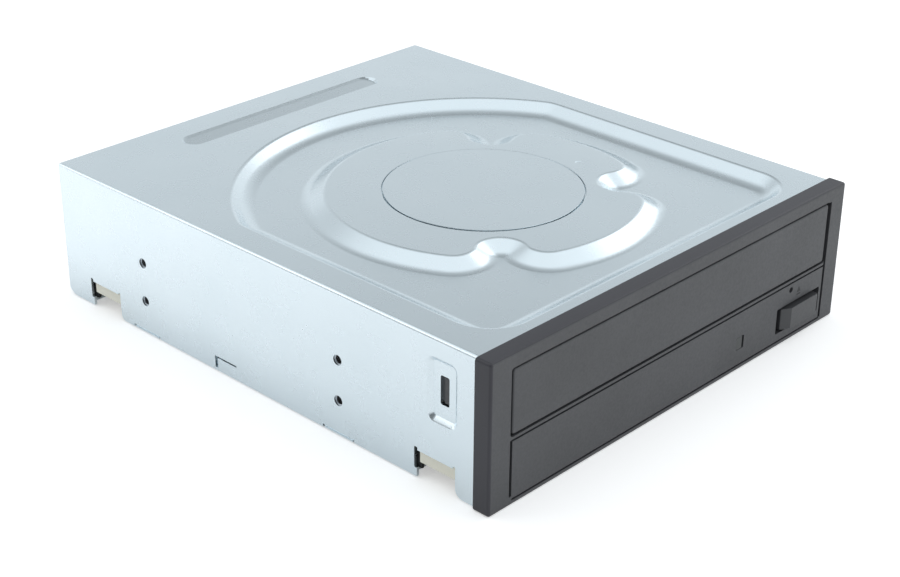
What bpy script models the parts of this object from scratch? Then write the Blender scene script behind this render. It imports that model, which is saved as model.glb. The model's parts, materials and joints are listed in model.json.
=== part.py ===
# Internal DVD writer for a 5.25 inch half-height bay, modelled piece by piece.
# Lengths are millimetres in the drive's own frame: x to the right seen from the front,
# y to the rear from the bezel's seat, z up from the underside of the chassis.

import math

import bmesh
import bpy

# General
MM = 0.001
GAP = 0.3
SHEET = 0.8
BEND_RADIUS = 1.0

# Disc wells, which set the tray's width and the disc's place
DISC_WELL_RADIUS = 60.3
DISC_WELL_DEPTH = 2.5
SMALL_WELL_RADIUS = 40.3
SMALL_WELL_DEPTH = 1.2
DISC_FRONT_MARGIN = 6.0
DISC_Y = DISC_WELL_RADIUS + DISC_FRONT_MARGIN

# Widths, from the disc outwards
TRAY_BORDER = 5.1
TRAY_SIDE_PLAY = 0.6
FRAME_WALL = 4.7
FRAME_PLAY = 1.525
TRAY_HALF = DISC_WELL_RADIUS + TRAY_BORDER
WALL_INNER = TRAY_HALF + TRAY_SIDE_PLAY
FRAME_HALF = WALL_INNER + FRAME_WALL
INNER_HALF = FRAME_HALF + FRAME_PLAY
HALF_WIDTH = INNER_HALF + SHEET

# Heights, from the main board upwards
PCB_BOTTOM = 3.4
PCB_THICKNESS = 1.6
LIFT_ROOM = 7.0
SUB_THICKNESS = 5.2
DECK_RISE = 1.1
DECK_THICKNESS = 1.2
TRAY_ROOM = 4.3
TRAY_THICKNESS = 5.2
HEADROOM = 12.3
PCB_Z = (PCB_BOTTOM, PCB_BOTTOM + PCB_THICKNESS)
SUB_Z = (PCB_Z[1] + LIFT_ROOM, PCB_Z[1] + LIFT_ROOM + SUB_THICKNESS)
DECK_Z = (SUB_Z[1] + DECK_RISE, SUB_Z[1] + DECK_RISE + DECK_THICKNESS)
TRAY_Z = (DECK_Z[1] + TRAY_ROOM, DECK_Z[1] + TRAY_ROOM + TRAY_THICKNESS)
DISC_WELL_FLOOR = TRAY_Z[1] - DISC_WELL_DEPTH
SMALL_WELL_FLOOR = DISC_WELL_FLOOR - SMALL_WELL_DEPTH
CHASSIS_HEIGHT = TRAY_Z[1] + HEADROOM

# Lengths, from the loading gears at the front to the rear wall
GEAR_Y = 16.0
CAM_THICKNESS = 2.0
CAM_TO_LIFT = 3.4
DECK_FRONT_BAR = 6.0
PICKUP_OFFSET = 15.3
PICKUP_LENGTH = 24.4
PICKUP_TRAVEL = 36.0
DECK_REAR_BAR = 5.0
SUB_REAR_BAR = 5.0
PIVOT_INSET = 14.0
FRAME_REAR_BAR = 6.0
CONNECTOR_ROOM = 6.7
FLOOR_REAR_Y = GEAR_Y + 13.0
CAM_Y = (FLOOR_REAR_Y + 1.6, FLOOR_REAR_Y + 1.6 + CAM_THICKNESS)
PICKUP_Y = (DISC_Y + PICKUP_OFFSET, DISC_Y + PICKUP_OFFSET + PICKUP_LENGTH)
LENS_Y = PICKUP_Y[0] + 8.4
DECK_Y = (CAM_Y[1] + CAM_TO_LIFT + DECK_FRONT_BAR, PICKUP_Y[1] + PICKUP_TRAVEL + DECK_REAR_BAR)
SUB_Y = (CAM_Y[1] + CAM_TO_LIFT, DECK_Y[1] + SUB_REAR_BAR)
PIVOT_Y = SUB_Y[1] - PIVOT_INSET
FRAME_Y = (3.0, SUB_Y[1] + FRAME_REAR_BAR)
CHASSIS_DEPTH = FRAME_Y[1] + CONNECTOR_ROOM

# Screw holes of the standard bay
HOLE_SPACING = 79.25
FRONT_HOLE_Y = 48.05
REAR_HOLE_Y = FRONT_HOLE_Y + HOLE_SPACING
SIDE_HOLE_LOW = 10.0
SIDE_HOLE_HIGH = 21.84
MOUNT_HOLE_RADIUS = 1.45
BOTTOM_HOLE_X = HALF_WIDTH - 3.175

# Relief pressed into the top cover
RECESS_DEPTH = 2.85
RECESS_BORDER = 9.525
RECESS_HALF = HALF_WIDTH - RECESS_BORDER
RECESS_FRONT_Y = 4.0
RECESS_CORNER = 12.0
RECESS_REAR_RADIUS = RECESS_HALF + 7.0
RECESS_SHOULDER = 9.0
RECESS_SLOPE = 4.4
RECESS_REAR_SLOPE = 5.8
PLATEAU_RADIUS = 44.5
PLATEAU_DROP = 0.3
PLATEAU_SLOPE = 4.6
NOTCH_ANGLES = (-131.0, -42.0, 41.0)
NOTCH_DEPTH = 11.6
NOTCH_RADIUS = 6.6
NOTCH_CENTRE = PLATEAU_RADIUS - NOTCH_DEPTH + NOTCH_RADIUS
LOBE_RADIUS = 6.4
SEAL_RADIUS = 28.3
SEAL_THICKNESS = 0.5
WELL_RADIUS = 19.2
WELL_HOLE_RADIUS = 14.5
WELL_DEPTH = 3.7
GROOVE_HALF = 39.0
GROOVE_RADIUS = 4.0
GROOVE_SLOPE = 1.8
GROOVE_DEPTH = 0.9
GROOVE_Y = CHASSIS_DEPTH - 13.7

# Cut-outs in the cover's sides
PANEL_Y = (7.1, 15.6)
PANEL_Z = (CHASSIS_HEIGHT - 22.3, CHASSIS_HEIGHT - 5.9)
PANEL_DEPTH = 1.0
PANEL_RIM = 0.9
LATCH_SLOT_Y = (PANEL_Y[0] + 2.0, PANEL_Y[1] - 3.2)
LATCH_SLOT_Z = (PANEL_Z[0] + 5.0, PANEL_Z[1] - 3.3)
NOTCH_WIDTH = 13.0
NOTCH_FRONT_Y = (6.8, 6.8 + NOTCH_WIDTH)
NOTCH_REAR_Y = (CHASSIS_DEPTH - 12.6 - NOTCH_WIDTH, CHASSIS_DEPTH - 12.6)
NOTCH_TOP = 7.7
TAB_WIDTH = 10.3
TAB_REACH = 11.5
SLIT_Y = (88.2, 96.5)
SLIT_TOP = 4.7
SLIT_WIDTH = 0.5
SLIT_HEIGHT = 1.0

# Main frame and tray
FRAME_BOTTOM = 2 * SHEET + GAP
FRAME_TOP = TRAY_Z[1] + 2.0
FLOOR_THICKNESS = 2.0
FLOOR_Z = (TRAY_Z[0] - 15.4, TRAY_Z[0] - 15.4 + FLOOR_THICKNESS)
TRAY_Y = (-1.4, SUB_Y[1])
TRAY_SLOT_HALF = 22.0
TRAY_TRAVEL = 130.0
PCB_HALF = WALL_INNER - 0.8
PCB_Y = (DISC_Y - 4.3, FRAME_Y[1] + 2.0)

# Front bezel, tray door and eject button
BEZEL_LIP = 0.975
BEZEL_RISE = 0.3
BEZEL_DROP = 0.4
BEZEL_THICKNESS = 5.1
BEZEL_WALL = 2.2
DOOR_HALF = WALL_INNER
DOOR_Z = (TRAY_Z[0] - 3.8, CHASSIS_HEIGHT - 4.0)
DOOR_GAP = 0.55
DOOR_THICKNESS = 3.4
DOOR_WALL = 1.9
LATCH_THICKNESS = 1.3
LATCH_X = INNER_HALF - PANEL_DEPTH - GAP - LATCH_THICKNESS
FRONT_PCB_THICKNESS = 1.2
FRONT_PCB_X = (24.0, WALL_INNER - 0.6)
FRONT_PCB_Y = (1.0, FLOOR_REAR_Y - 2.0)
FRONT_PCB_Z = (FLOOR_Z[0] - 2.8 - FRONT_PCB_THICKNESS, FLOOR_Z[0] - 2.8)
SWITCH_X = DOOR_HALF - 11.0
SWITCH_Z = FRONT_PCB_Z[1] + 2.7
SWITCH_Y = (8.2, 14.0)
BUTTON_X = (DOOR_HALF - 20.4, DOOR_HALF - 1.4)
BUTTON_Z = (SWITCH_Z - 4.0, SWITCH_Z + 3.2)
BUTTON_PROUD = 2.2
BUTTON_TRAVEL = 1.0
BUTTON_SLOPE = 2.4
LED_X = 27.5
LED_Z = FRONT_PCB_Z[1] + 2.8
EJECT_HOLE_X = 51.0
EJECT_HOLE_Z = SUB_Z[0] + 4.0
EJECT_HOLE_RADIUS = 0.8

# Loading drive under the tray's front
RACK_MODULE = 1.0
RACK_PINION_TEETH = 20
TRAIN_MODULE = 0.8
TRAIN_WHEEL_TEETH = 28
TRAIN_PINION_TEETH = 12
TRAY_GEAR_X = -41.0
RACK_PITCH_X = TRAY_GEAR_X - RACK_MODULE * RACK_PINION_TEETH / 2
PULLEY_X = TRAY_GEAR_X + TRAIN_MODULE * (TRAIN_WHEEL_TEETH + TRAIN_PINION_TEETH) / 2
BELT_SPAN = 35.0
MOTOR_X = PULLEY_X + BELT_SPAN
MOTOR_RADIUS = 12.0
MOTOR_LENGTH = 12.0
PULLEY_GROOVE = 9.6
MOTOR_GROOVE = 2.2
BELT_WIDTH = 1.6
BELT_THICKNESS = 1.2
POST_RADIUS = 1.5
TRAIN_Z = (FLOOR_Z[1] + 1.1, FLOOR_Z[1] + 3.9)
PULLEY_Z = (FLOOR_Z[1] + 4.9, FLOOR_Z[1] + 8.5)
RACK_Z = (TRAY_Z[0] - 3.9, TRAY_Z[0] - GAP)
BELT_Z = sum(PULLEY_Z) / 2
MOTOR_TOP = FLOOR_Z[1] + 4.0

# Lift frame, traverse and cam
PIVOT_Z = SUB_Z[0] + 3.0
PIVOT_PIN_RADIUS = 2.0
LIFT_ANGLE = math.radians(4.8)
CAM_TRAVEL = 18.0
CAM_PINS_X = (-20.0, 8.0)
CAM_PIN_Z = SUB_Z[1] + 1.3
CAM_PIN_RADIUS = 1.5
CAM_SLOT_PLAY = 0.45
CAM_DROP = math.sin(LIFT_ANGLE) * (PIVOT_Y - sum(CAM_Y) / 2)
CAM_FOOT_Z = CAM_PIN_Z - CAM_DROP - CAM_PIN_RADIUS - CAM_SLOT_PLAY - 1.3
CAM_RAIL_THICKNESS = 1.6
CAM_RAIL_Z = (CAM_FOOT_Z - GAP - CAM_RAIL_THICKNESS, CAM_FOOT_Z - GAP)
SUB_HALF = 47.0
SUB_BAR = 8.5
DAMPER_X = SUB_HALF - 13.1
DAMPER_Y = (SUB_Y[0] + 11.0, DECK_Y[1] - 8.0)
DAMPER_RADIUS = 3.5
DAMPER_BORE = 1.6
DECK_HALF = SUB_HALF - SUB_BAR - 1.0

# Spindle, pickup and their guides
ROTOR_RADIUS = 13.2
TURNTABLE_Z = TRAY_Z[1] - 1.1
HUB_RADIUS = 7.4
MAGNET_RADIUS = 9.2
ROD_X = 21.5
ROD_Z = DECK_Z[0] - 2.5
ROD_RADIUS = 1.25
ROD_Y = (DISC_Y + 11.0, DECK_Y[1] - 0.4)
LEAD_X = 28.6
LEAD_Z = DECK_Z[0] - 1.1
LEAD_RADIUS = 1.4
LEAD_MOTOR_RADIUS = 5.0
LEAD_MOTOR_Y = (DISC_Y - 4.3, DISC_Y + 16.7)
PICKUP_HALF = 16.0
LENS_RADIUS = 2.4
PICKUP_Z = (DECK_Z[0] - 4.1, DECK_Z[1] + 2.0)

# Main board, rear connector and case screws
CAPACITOR_RADIUS = 3.2
CAPACITOR_HEIGHT = 5.4
POWER_SOCKET_WIDTH = 20.5
DATA_SOCKET_WIDTH = 10.5
CONNECTOR_X = (-52.0, -14.0)
CONNECTOR_Z = (PCB_Z[1] + GAP, PCB_Z[1] + GAP + 7.4)
SCREW_X = FRAME_HALF - 2.4
SCREW_YS = (30.0, 112.0)

# Finishes: colour, roughness, metallic
FINISHES = {
    "zinc_steel": ((0.56, 0.62, 0.66), 0.35, 0.9),
    "black_plastic": ((0.085, 0.088, 0.095), 0.5, 0.0),
    "tray_plastic": ((0.05, 0.05, 0.055), 0.5, 0.0),
    "cream_plastic": ((0.93, 0.91, 0.78), 0.5, 0.0),
    "gear_plastic": ((0.86, 0.86, 0.82), 0.4, 0.0),
    "rubber": ((0.03, 0.03, 0.03), 0.8, 0.0),
    "steel": ((0.6, 0.6, 0.62), 0.25, 1.0),
    "board": ((0.03, 0.16, 0.07), 0.5, 0.0),
    "chip": ((0.03, 0.03, 0.035), 0.45, 0.0),
    "lens": ((0.35, 0.45, 0.75), 0.05, 0.0),
    "diecast": ((0.5, 0.5, 0.52), 0.5, 0.8),
    "magnet": ((0.2, 0.2, 0.21), 0.4, 0.7),
}


# Outlines

def arc(cx, cy, radius, start, end, count):
    """Points of an arc, angles in degrees, both ends included."""
    step = (end - start) / count
    angles = [math.radians(start + step * i) for i in range(count + 1)]
    return [(cx + radius * math.cos(a), cy + radius * math.sin(a)) for a in angles]


def circle(cx, cy, radius, count=32, phase=0.0):
    return arc(cx, cy, radius, phase, phase + 360.0, count)[:-1]


def rectangle(x0, x1, y0, y1, radius=0.0, count=4):
    """Rectangle outline with four equal round corners."""
    if radius <= 0:
        return [(x0, y0), (x1, y0), (x1, y1), (x0, y1)]
    corners = (
        (x0 + radius, y0 + radius, 180),
        (x1 - radius, y0 + radius, 270),
        (x1 - radius, y1 - radius, 0),
        (x0 + radius, y1 - radius, 90),
    )
    points = []
    for cx, cy, start in corners:
        points += arc(cx, cy, radius, start, start + 90, count)
    return points


def capsule(x0, x1, y, radius, count=8):
    """Slot outline with round ends, its length along x."""
    return arc(x1, y, radius, -90, 90, count) + arc(x0, y, radius, 90, 270, count)


def slanted_slot(x0, z0, x1, z1, radius, count=8):
    """Round-ended slot outline between two centres."""
    lean = math.degrees(math.atan2(z1 - z0, x1 - x0))
    far = arc(x1, z1, radius, lean - 90, lean + 90, count)
    return far + arc(x0, z0, radius, lean + 90, lean + 270, count)


def recess_outline(inset, rear_inset):
    """D-shaped outline of the top recess, moved inwards by its slope."""
    half = RECESS_HALF - inset
    corner = RECESS_CORNER - inset
    front = RECESS_FRONT_Y + RECESS_CORNER
    rear = RECESS_REAR_RADIUS - rear_inset
    shoulder = RECESS_SHOULDER - min(inset, RECESS_SHOULDER - 1)
    rise = math.sqrt((rear - shoulder) ** 2 - (half - shoulder) ** 2)
    reach = math.degrees(math.atan2(rise, half - shoulder))
    top = DISC_Y + rise
    points = arc(-half + corner, front, corner, 180, 270, 5)
    points += arc(half - corner, front, corner, 270, 360, 5)
    points += arc(half - shoulder, top, shoulder, 0, reach, 3)
    points += arc(0, DISC_Y, rear, reach, 180 - reach, 16)[1:-1]
    points += arc(-half + shoulder, top, shoulder, 180 - reach, 180, 3)
    return points


def plateau_outline(grow):
    """Round plateau with three round-ended notches, grown outwards by its slope."""
    lobe_at = PLATEAU_RADIUS - LOBE_RADIUS
    reach = NOTCH_RADIUS + LOBE_RADIUS
    along = (lobe_at ** 2 - reach ** 2 + NOTCH_CENTRE ** 2) / (2 * NOTCH_CENTRE)
    across = math.sqrt(lobe_at ** 2 - along ** 2)
    spread = math.degrees(math.atan2(across, along))
    lean = math.degrees(math.atan2(across, along - NOTCH_CENTRE))
    notch = NOTCH_RADIUS - grow
    lobe = LOBE_RADIUS + grow
    points = []
    for number, angle in enumerate(NOTCH_ANGLES):
        turn = math.radians(angle)
        local = arc(along, -across, lobe, -spread, 180 - lean, 3)
        local += arc(NOTCH_CENTRE, 0, notch, 360 - lean, lean, 6)[1:-1]
        local += arc(along, across, lobe, lean - 180, spread, 3)
        for u, v in local:
            x = u * math.cos(turn) - v * math.sin(turn)
            y = u * math.sin(turn) + v * math.cos(turn)
            points.append((x, DISC_Y + y))
        following = NOTCH_ANGLES[(number + 1) % len(NOTCH_ANGLES)]
        span = (following - angle) % 360 - 2 * spread
        count = max(2, round(span / 15))
        first = angle + spread
        points += arc(0, DISC_Y, PLATEAU_RADIUS + grow, first, first + span, count)[1:-1]
    return points


def tooth_ring(teeth, module, cx, cy, phase):
    """Gear outline with straight-flanked teeth; the first tooth points at phase."""
    pitch = teeth * module / 2
    tip = pitch + 0.85 * module
    root = pitch - 1.15 * module
    half = math.pi * module / 4 - 0.14
    tip_half = (half - 0.36 * 0.85 * module) / tip
    root_half = (half + 0.3 * 1.15 * module) / root
    points = []
    for tooth in range(teeth):
        middle = phase + 2 * math.pi * tooth / teeth
        flanks = ((root, -root_half), (tip, -tip_half), (tip, tip_half), (root, root_half))
        for radius, offset in flanks:
            a = middle + offset
            points.append((cx + radius * math.cos(a), cy + radius * math.sin(a)))
    return points


def belt_outline(offset):
    """Loop round both pulleys, offset outwards from their grooves."""
    small = MOTOR_GROOVE + offset
    large = PULLEY_GROOVE + offset
    lean = math.degrees(math.acos((large - small) / (MOTOR_X - PULLEY_X)))
    near = arc(MOTOR_X, GEAR_Y, small, -lean, lean, 6)
    return near + arc(PULLEY_X, GEAR_Y, large, lean, 360 - lean, 18)


# Mesh building

def to_space(u, v, w, axis):
    if axis == "Z":
        return (u, v, w)
    if axis == "Y":
        return (u, w, v)
    return (w, u, v)


def add_prism(bm, outline, low, high, axis="Z", holes=()):
    """Extrudes an outline, with optional holes, between two heights along an axis."""
    for loop in (outline, *holes):
        rows = []
        for height in (low, high):
            rows.append([bm.verts.new(to_space(u, v, height, axis)) for u, v in loop])
        count = len(loop)
        for i in range(count):
            j = (i + 1) % count
            bm.faces.new((rows[0][i], rows[0][j], rows[1][j], rows[1][i]))
        if not holes:
            bm.faces.new(rows[0][::-1])
            bm.faces.new(rows[1])
    if holes:
        normal = to_space(0, 0, 1, axis)
        along = "XYZ".index(axis)
        for height in (low, high):
            rim = [e for e in bm.edges if e.is_boundary]
            rim = [e for e in rim if all(abs(v.co[along] - height) < 1e-6 for v in e.verts)]
            bmesh.ops.triangle_fill(bm, use_beauty=True, edges=rim, normal=normal)


def add_box(bm, x, y, z):
    add_prism(bm, rectangle(x[0], x[1], y[0], y[1]), z[0], z[1])


def add_turned(bm, profile, centre, axis="Z", count=32):
    """Turns a closed profile of (radius, height) points about an axis through centre."""
    rings = []
    for radius, height in profile:
        if radius < 1e-6:
            rings.append([bm.verts.new(to_space(centre[0], centre[1], height, axis))])
            continue
        ring = circle(centre[0], centre[1], radius, count)
        rings.append([bm.verts.new(to_space(u, v, height, axis)) for u, v in ring])
    for first, second in zip(rings, rings[1:] + rings[:1]):
        if len(first) == 1 and len(second) == 1:
            continue
        for i in range(count):
            j = (i + 1) % count
            corners = [first[i % len(first)], first[j % len(first)]]
            corners += [second[j % len(second)], second[i % len(second)]]
            bm.faces.new(list(dict.fromkeys(corners)))


def add_cylinder(bm, centre, radius, low, high, axis="Z", count=24):
    add_prism(bm, circle(centre[0], centre[1], radius, count), low, high, axis)


def shape(*steps):
    """New mesh made by calling each (function, arguments...) on it."""
    bm = bmesh.new()
    for function, *arguments in steps:
        function(bm, *arguments)
    return bm


def material(name):
    found = bpy.data.materials.get(name)
    if found:
        return found
    colour, roughness, metallic = FINISHES[name]
    made = bpy.data.materials.new(name)
    made.use_nodes = True
    shader = made.node_tree.nodes["Principled BSDF"]
    shader.inputs["Base Color"].default_value = (*colour, 1.0)
    shader.inputs["Roughness"].default_value = roughness
    shader.inputs["Metallic"].default_value = metallic
    made.diffuse_color = (*colour, 1.0)
    return made


def place(name, bm, origin, closed=True):
    """Object in the drive's frame with its origin at the given point."""
    bmesh.ops.remove_doubles(bm, verts=bm.verts, dist=1e-4)
    if closed:
        bmesh.ops.recalc_face_normals(bm, faces=bm.faces)
    for vertex in bm.verts:
        vertex.co = [(vertex.co[i] - origin[i]) * MM for i in range(3)]
    mesh = bpy.data.meshes.new(name)
    bm.to_mesh(mesh)
    bm.free()
    mesh.shade_smooth()
    mesh.set_sharp_from_angle(angle=math.radians(35))
    obj = bpy.data.objects.new(name, mesh)
    bpy.context.collection.objects.link(obj)
    obj.location = [value * MM for value in origin]
    obj.parent = drive
    return obj


def combine(obj, joined=(), cuts=(), added=()):
    """Joins shapes to a piece, cuts shapes from it, then adds the last ones."""
    tools = [("UNION", extra) for extra in joined]
    tools += [("DIFFERENCE", extra) for extra in cuts]
    tools += [("UNION", extra) for extra in added]
    origin = [value / MM for value in obj.location]
    for number, (operation, extra) in enumerate(tools, 1):
        tool = place(f"{obj.name}_tool_{number}", extra, origin)
        tool.hide_render = True
        tool.display_type = "WIRE"
        step = obj.modifiers.new(f"{operation.lower()}_{number}", "BOOLEAN")
        step.operation = operation
        step.solver = "EXACT"
        step.object = tool


def make(name, bm, finish, origin=(0, 0, 0), joined=(), cuts=(), added=()):
    """Finished piece in its material."""
    obj = place(name, bm, origin)
    obj.data.materials.append(material(finish))
    combine(obj, joined, cuts, added)
    return obj


# Sheet metal covers

def fold_down(bm, rim, bottom):
    """Folds the cover's rim down into walls; rim holds (vertex, outward direction)."""
    turns = (math.pi / 4, math.pi / 2)
    steps = [(BEND_RADIUS * math.sin(a), BEND_RADIUS * (1 - math.cos(a))) for a in turns]
    steps.append((BEND_RADIUS, CHASSIS_HEIGHT - bottom))
    row = [vertex for vertex, _ in rim]
    starts = [vertex.co.copy() for vertex in row]
    for out, down in steps:
        lower = []
        for start, (_, (dx, dy)) in zip(starts, rim):
            lower.append(bm.verts.new((start.x + dx * out, start.y + dy * out, start.z - down)))
        for i in range(len(row) - 1):
            bm.faces.new((row[i], lower[i], lower[i + 1], row[i + 1]))
        row = lower


def ring_of(bm, outline, height):
    return [bm.verts.new((x, y, height)) for x, y in outline]


def close_loop(bm, ring):
    return [bm.edges.get((a, b)) or bm.edges.new((a, b)) for a, b in zip(ring, ring[1:] + ring[:1])]


def bridge(bm, outer, inner):
    count = len(outer)
    for i in range(count):
        j = (i + 1) % count
        bm.faces.new((outer[i], outer[j], inner[j], inner[i]))


def fill_flat(bm, *rings):
    edges = []
    for ring in rings:
        edges += close_loop(bm, ring)
    bmesh.ops.triangle_fill(bm, use_beauty=True, edges=edges, normal=(0, 0, 1))


def cover_skin():
    """Outer surface of the top cover, open at the front and below."""
    bm = bmesh.new()
    top = CHASSIS_HEIGHT
    floor = top - RECESS_DEPTH
    crown = top - PLATEAU_DROP
    side = HALF_WIDTH - BEND_RADIUS
    rear = CHASSIS_DEPTH - BEND_RADIUS
    stations = [GAP, 40.0, 80.0, 120.0, rear]
    left = [bm.verts.new((-side, y, top)) for y in stations]
    right = [bm.verts.new((side, y, top)) for y in reversed(stations)]
    recess = ring_of(bm, recess_outline(0, 0), top)
    recess_floor = ring_of(bm, recess_outline(RECESS_SLOPE, RECESS_REAR_SLOPE), floor)
    plateau_foot = ring_of(bm, plateau_outline(PLATEAU_SLOPE), floor)
    plateau = ring_of(bm, plateau_outline(0), crown)
    groove_end = GROOVE_HALF - GROOVE_RADIUS
    groove = ring_of(bm, capsule(-groove_end, groove_end, GROOVE_Y, GROOVE_RADIUS), top)
    deep = capsule(-groove_end, groove_end, GROOVE_Y, GROOVE_RADIUS - GROOVE_SLOPE)
    groove_floor = ring_of(bm, deep, top - GROOVE_DEPTH)
    fill_flat(bm, left + right, recess, groove)
    bridge(bm, groove, groove_floor)
    fill_flat(bm, groove_floor)
    bridge(bm, recess, recess_floor)
    fill_flat(bm, recess_floor, plateau_foot)
    bridge(bm, plateau_foot, plateau)
    seat = crown - SEAL_THICKNESS - GAP
    well_floor = crown - WELL_DEPTH
    ledge = SEAL_RADIUS + GAP
    steps = [(ledge, crown), (ledge, seat), (WELL_RADIUS + 2.8, seat)]
    steps += [(WELL_RADIUS, well_floor), (WELL_HOLE_RADIUS, well_floor)]
    well = [ring_of(bm, circle(0, DISC_Y, radius, 30), height) for radius, height in steps]
    fill_flat(bm, plateau, well[0])
    for outer, inner in zip(well, well[1:]):
        bridge(bm, outer, inner)
    rim = [(v, (-1, 0)) for v in left[:-1]] + [(left[-1], (-1, 1)), (right[0], (1, 1))]
    rim += [(v, (1, 0)) for v in right[1:]]
    fold_down(bm, rim, 0.0)
    bmesh.ops.recalc_face_normals(bm, faces=bm.faces)
    highest = max(bm.faces, key=lambda f: f.calc_center_median().z)
    if highest.normal.z < 0:
        bmesh.ops.reverse_faces(bm, faces=bm.faces)
    return bm


def side_cuts(openings, panels, side):
    """Cut-outs of one side wall of the top cover."""
    clear = sorted((side * (INNER_HALF - 1.5), side * (HALF_WIDTH + 1)))
    for hole_y in (FRONT_HOLE_Y, REAR_HOLE_Y):
        for height in (SIDE_HOLE_LOW, SIDE_HOLE_HIGH):
            add_cylinder(openings, (hole_y, height), MOUNT_HOLE_RADIUS, *clear, "X", 10)
        add_cylinder(openings, (side * BOTTOM_HOLE_X, hole_y), MOUNT_HOLE_RADIUS, -1, SHEET + 1, "Z", 10)
    face = sorted((side * (HALF_WIDTH - PANEL_DEPTH), side * (HALF_WIDTH + 1)))
    add_prism(panels, rectangle(*PANEL_Y, *PANEL_Z, 1.4, 3), *face, "X")
    through = sorted((side * (INNER_HALF - PANEL_DEPTH - 1), side * (HALF_WIDTH + 1)))
    add_prism(openings, rectangle(*LATCH_SLOT_Y, *LATCH_SLOT_Z, 0.6, 1), *through, "X")
    for low, high in (NOTCH_FRONT_Y, NOTCH_REAR_Y):
        add_prism(openings, rectangle(low, high, -4, NOTCH_TOP, 2.5, 3), *clear, "X")
    foot = SLIT_TOP - SLIT_HEIGHT
    slit = [(SLIT_Y[0], foot), (SLIT_Y[1] - SLIT_WIDTH, foot), (SLIT_Y[1] - SLIT_WIDTH, 0.7)]
    slit += [(SLIT_Y[1], 0.7), (SLIT_Y[1], SLIT_TOP), (SLIT_Y[0], SLIT_TOP)]
    add_prism(openings, slit, *clear, "X")
    corner = [(CHASSIS_DEPTH + 1, -1), (CHASSIS_DEPTH + 1, 4)]
    corner += arc(CHASSIS_DEPTH - 4, 4, 4, 0, -90, 4) + [(CHASSIS_DEPTH - 4, -1)]
    add_prism(openings, corner, *clear, "X")


def top_cover():
    obj = place("top_cover", cover_skin(), (0, 0, 0), closed=False)
    obj.data.materials.append(material("zinc_steel"))
    wall = obj.modifiers.new("sheet", "SOLIDIFY")
    wall.thickness = SHEET * MM
    wall.offset = -1
    wall.use_even_offset = True
    wall.use_quality_normals = True
    joined = bmesh.new()
    panels = bmesh.new()
    openings = bmesh.new()
    rim_y = (PANEL_Y[0] - PANEL_RIM, PANEL_Y[1] + PANEL_RIM)
    rim_z = (PANEL_Z[0] - PANEL_RIM, PANEL_Z[1] + PANEL_RIM)
    for side in (-1, 1):
        pad = sorted((side * (INNER_HALF - PANEL_DEPTH - 0.03), side * (HALF_WIDTH - 0.4)))
        add_prism(joined, rectangle(*rim_y, *rim_z, 2.0, 3), *pad, "X")
        reach = sorted((side * (HALF_WIDTH - TAB_REACH), side * (HALF_WIDTH - 0.3)))
        for hole_y in (FRONT_HOLE_Y, REAR_HOLE_Y):
            add_box(joined, reach, (hole_y - TAB_WIDTH / 2, hole_y + TAB_WIDTH / 2), (0, SHEET))
        side_cuts(openings, panels, side)
    socket = (CONNECTOR_X[0] - 1, CONNECTOR_X[1] + 1)
    window = (CONNECTOR_Z[0] - 0.9, CONNECTOR_Z[1] + 0.7)
    add_box(openings, socket, (CHASSIS_DEPTH - 2, CHASSIS_DEPTH + 1), window)
    combine(obj, joined=[joined], cuts=[panels, openings])


def clamper_seal():
    crown = CHASSIS_HEIGHT - PLATEAU_DROP
    bm = shape((add_cylinder, (0, DISC_Y), SEAL_RADIUS, crown - SEAL_THICKNESS, crown, "Z", 40))
    make("clamper_seal", bm, "zinc_steel")


def bottom_cover():
    half = INNER_HALF - GAP
    inner = HALF_WIDTH - TAB_REACH - 0.5
    front = (NOTCH_FRONT_Y[0] - 1.9, NOTCH_FRONT_Y[1] + 1.8)
    middle = (FRONT_HOLE_Y - TAB_WIDTH / 2 - 1, FRONT_HOLE_Y + TAB_WIDTH / 2 + 1)
    rear = (REAR_HOLE_Y - TAB_WIDTH / 2 - 1, NOTCH_REAR_Y[1] + 2)
    y0 = 0.6
    y1 = CHASSIS_DEPTH - SHEET - 0.6
    right = [(half, y0)]
    for low, high in (front, middle, rear):
        right += [(half, low), (inner, low), (inner, high), (half, high)]
    right.append((half, y1))
    outline = right + [(-x, y) for x, y in reversed(right)]
    joined = bmesh.new()
    cuts = bmesh.new()
    holes = bmesh.new()
    for side in (-1, 1):
        flange = sorted((side * (half - SHEET), side * half))
        add_box(joined, flange, (middle[1] + 3, SCREW_YS[1] - 5), (SHEET - 0.3, 5.0))
        for y in SCREW_YS:
            add_cylinder(joined, (side * SCREW_X, y), 3.5, SHEET - 0.3, 2 * SHEET, "Z", 14)
            add_cylinder(cuts, (side * SCREW_X, y), 3.0, -1, SHEET, "Z", 14)
            add_cylinder(holes, (side * SCREW_X, y), 1.5, 0, 2 * SHEET + 1, "Z", 10)
    sheet = shape((add_prism, outline, 0, SHEET))
    make("bottom_cover", sheet, "zinc_steel", joined=[joined], cuts=[cuts, holes])


def case_screws():
    number = 0
    for side in (-1, 1):
        for y in SCREW_YS:
            number += 1
            profile = [(0, -0.15), (2.2, -0.15), (2.7, 0.1), (2.7, 0.5), (1.2, 0.5), (1.2, 6.0), (0, 6.6)]
            bm = shape((add_turned, profile, (side * SCREW_X, y), "Z", 12))
            make(f"case_screw_{number}", bm, "steel")


# Front bezel and what it carries

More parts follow.
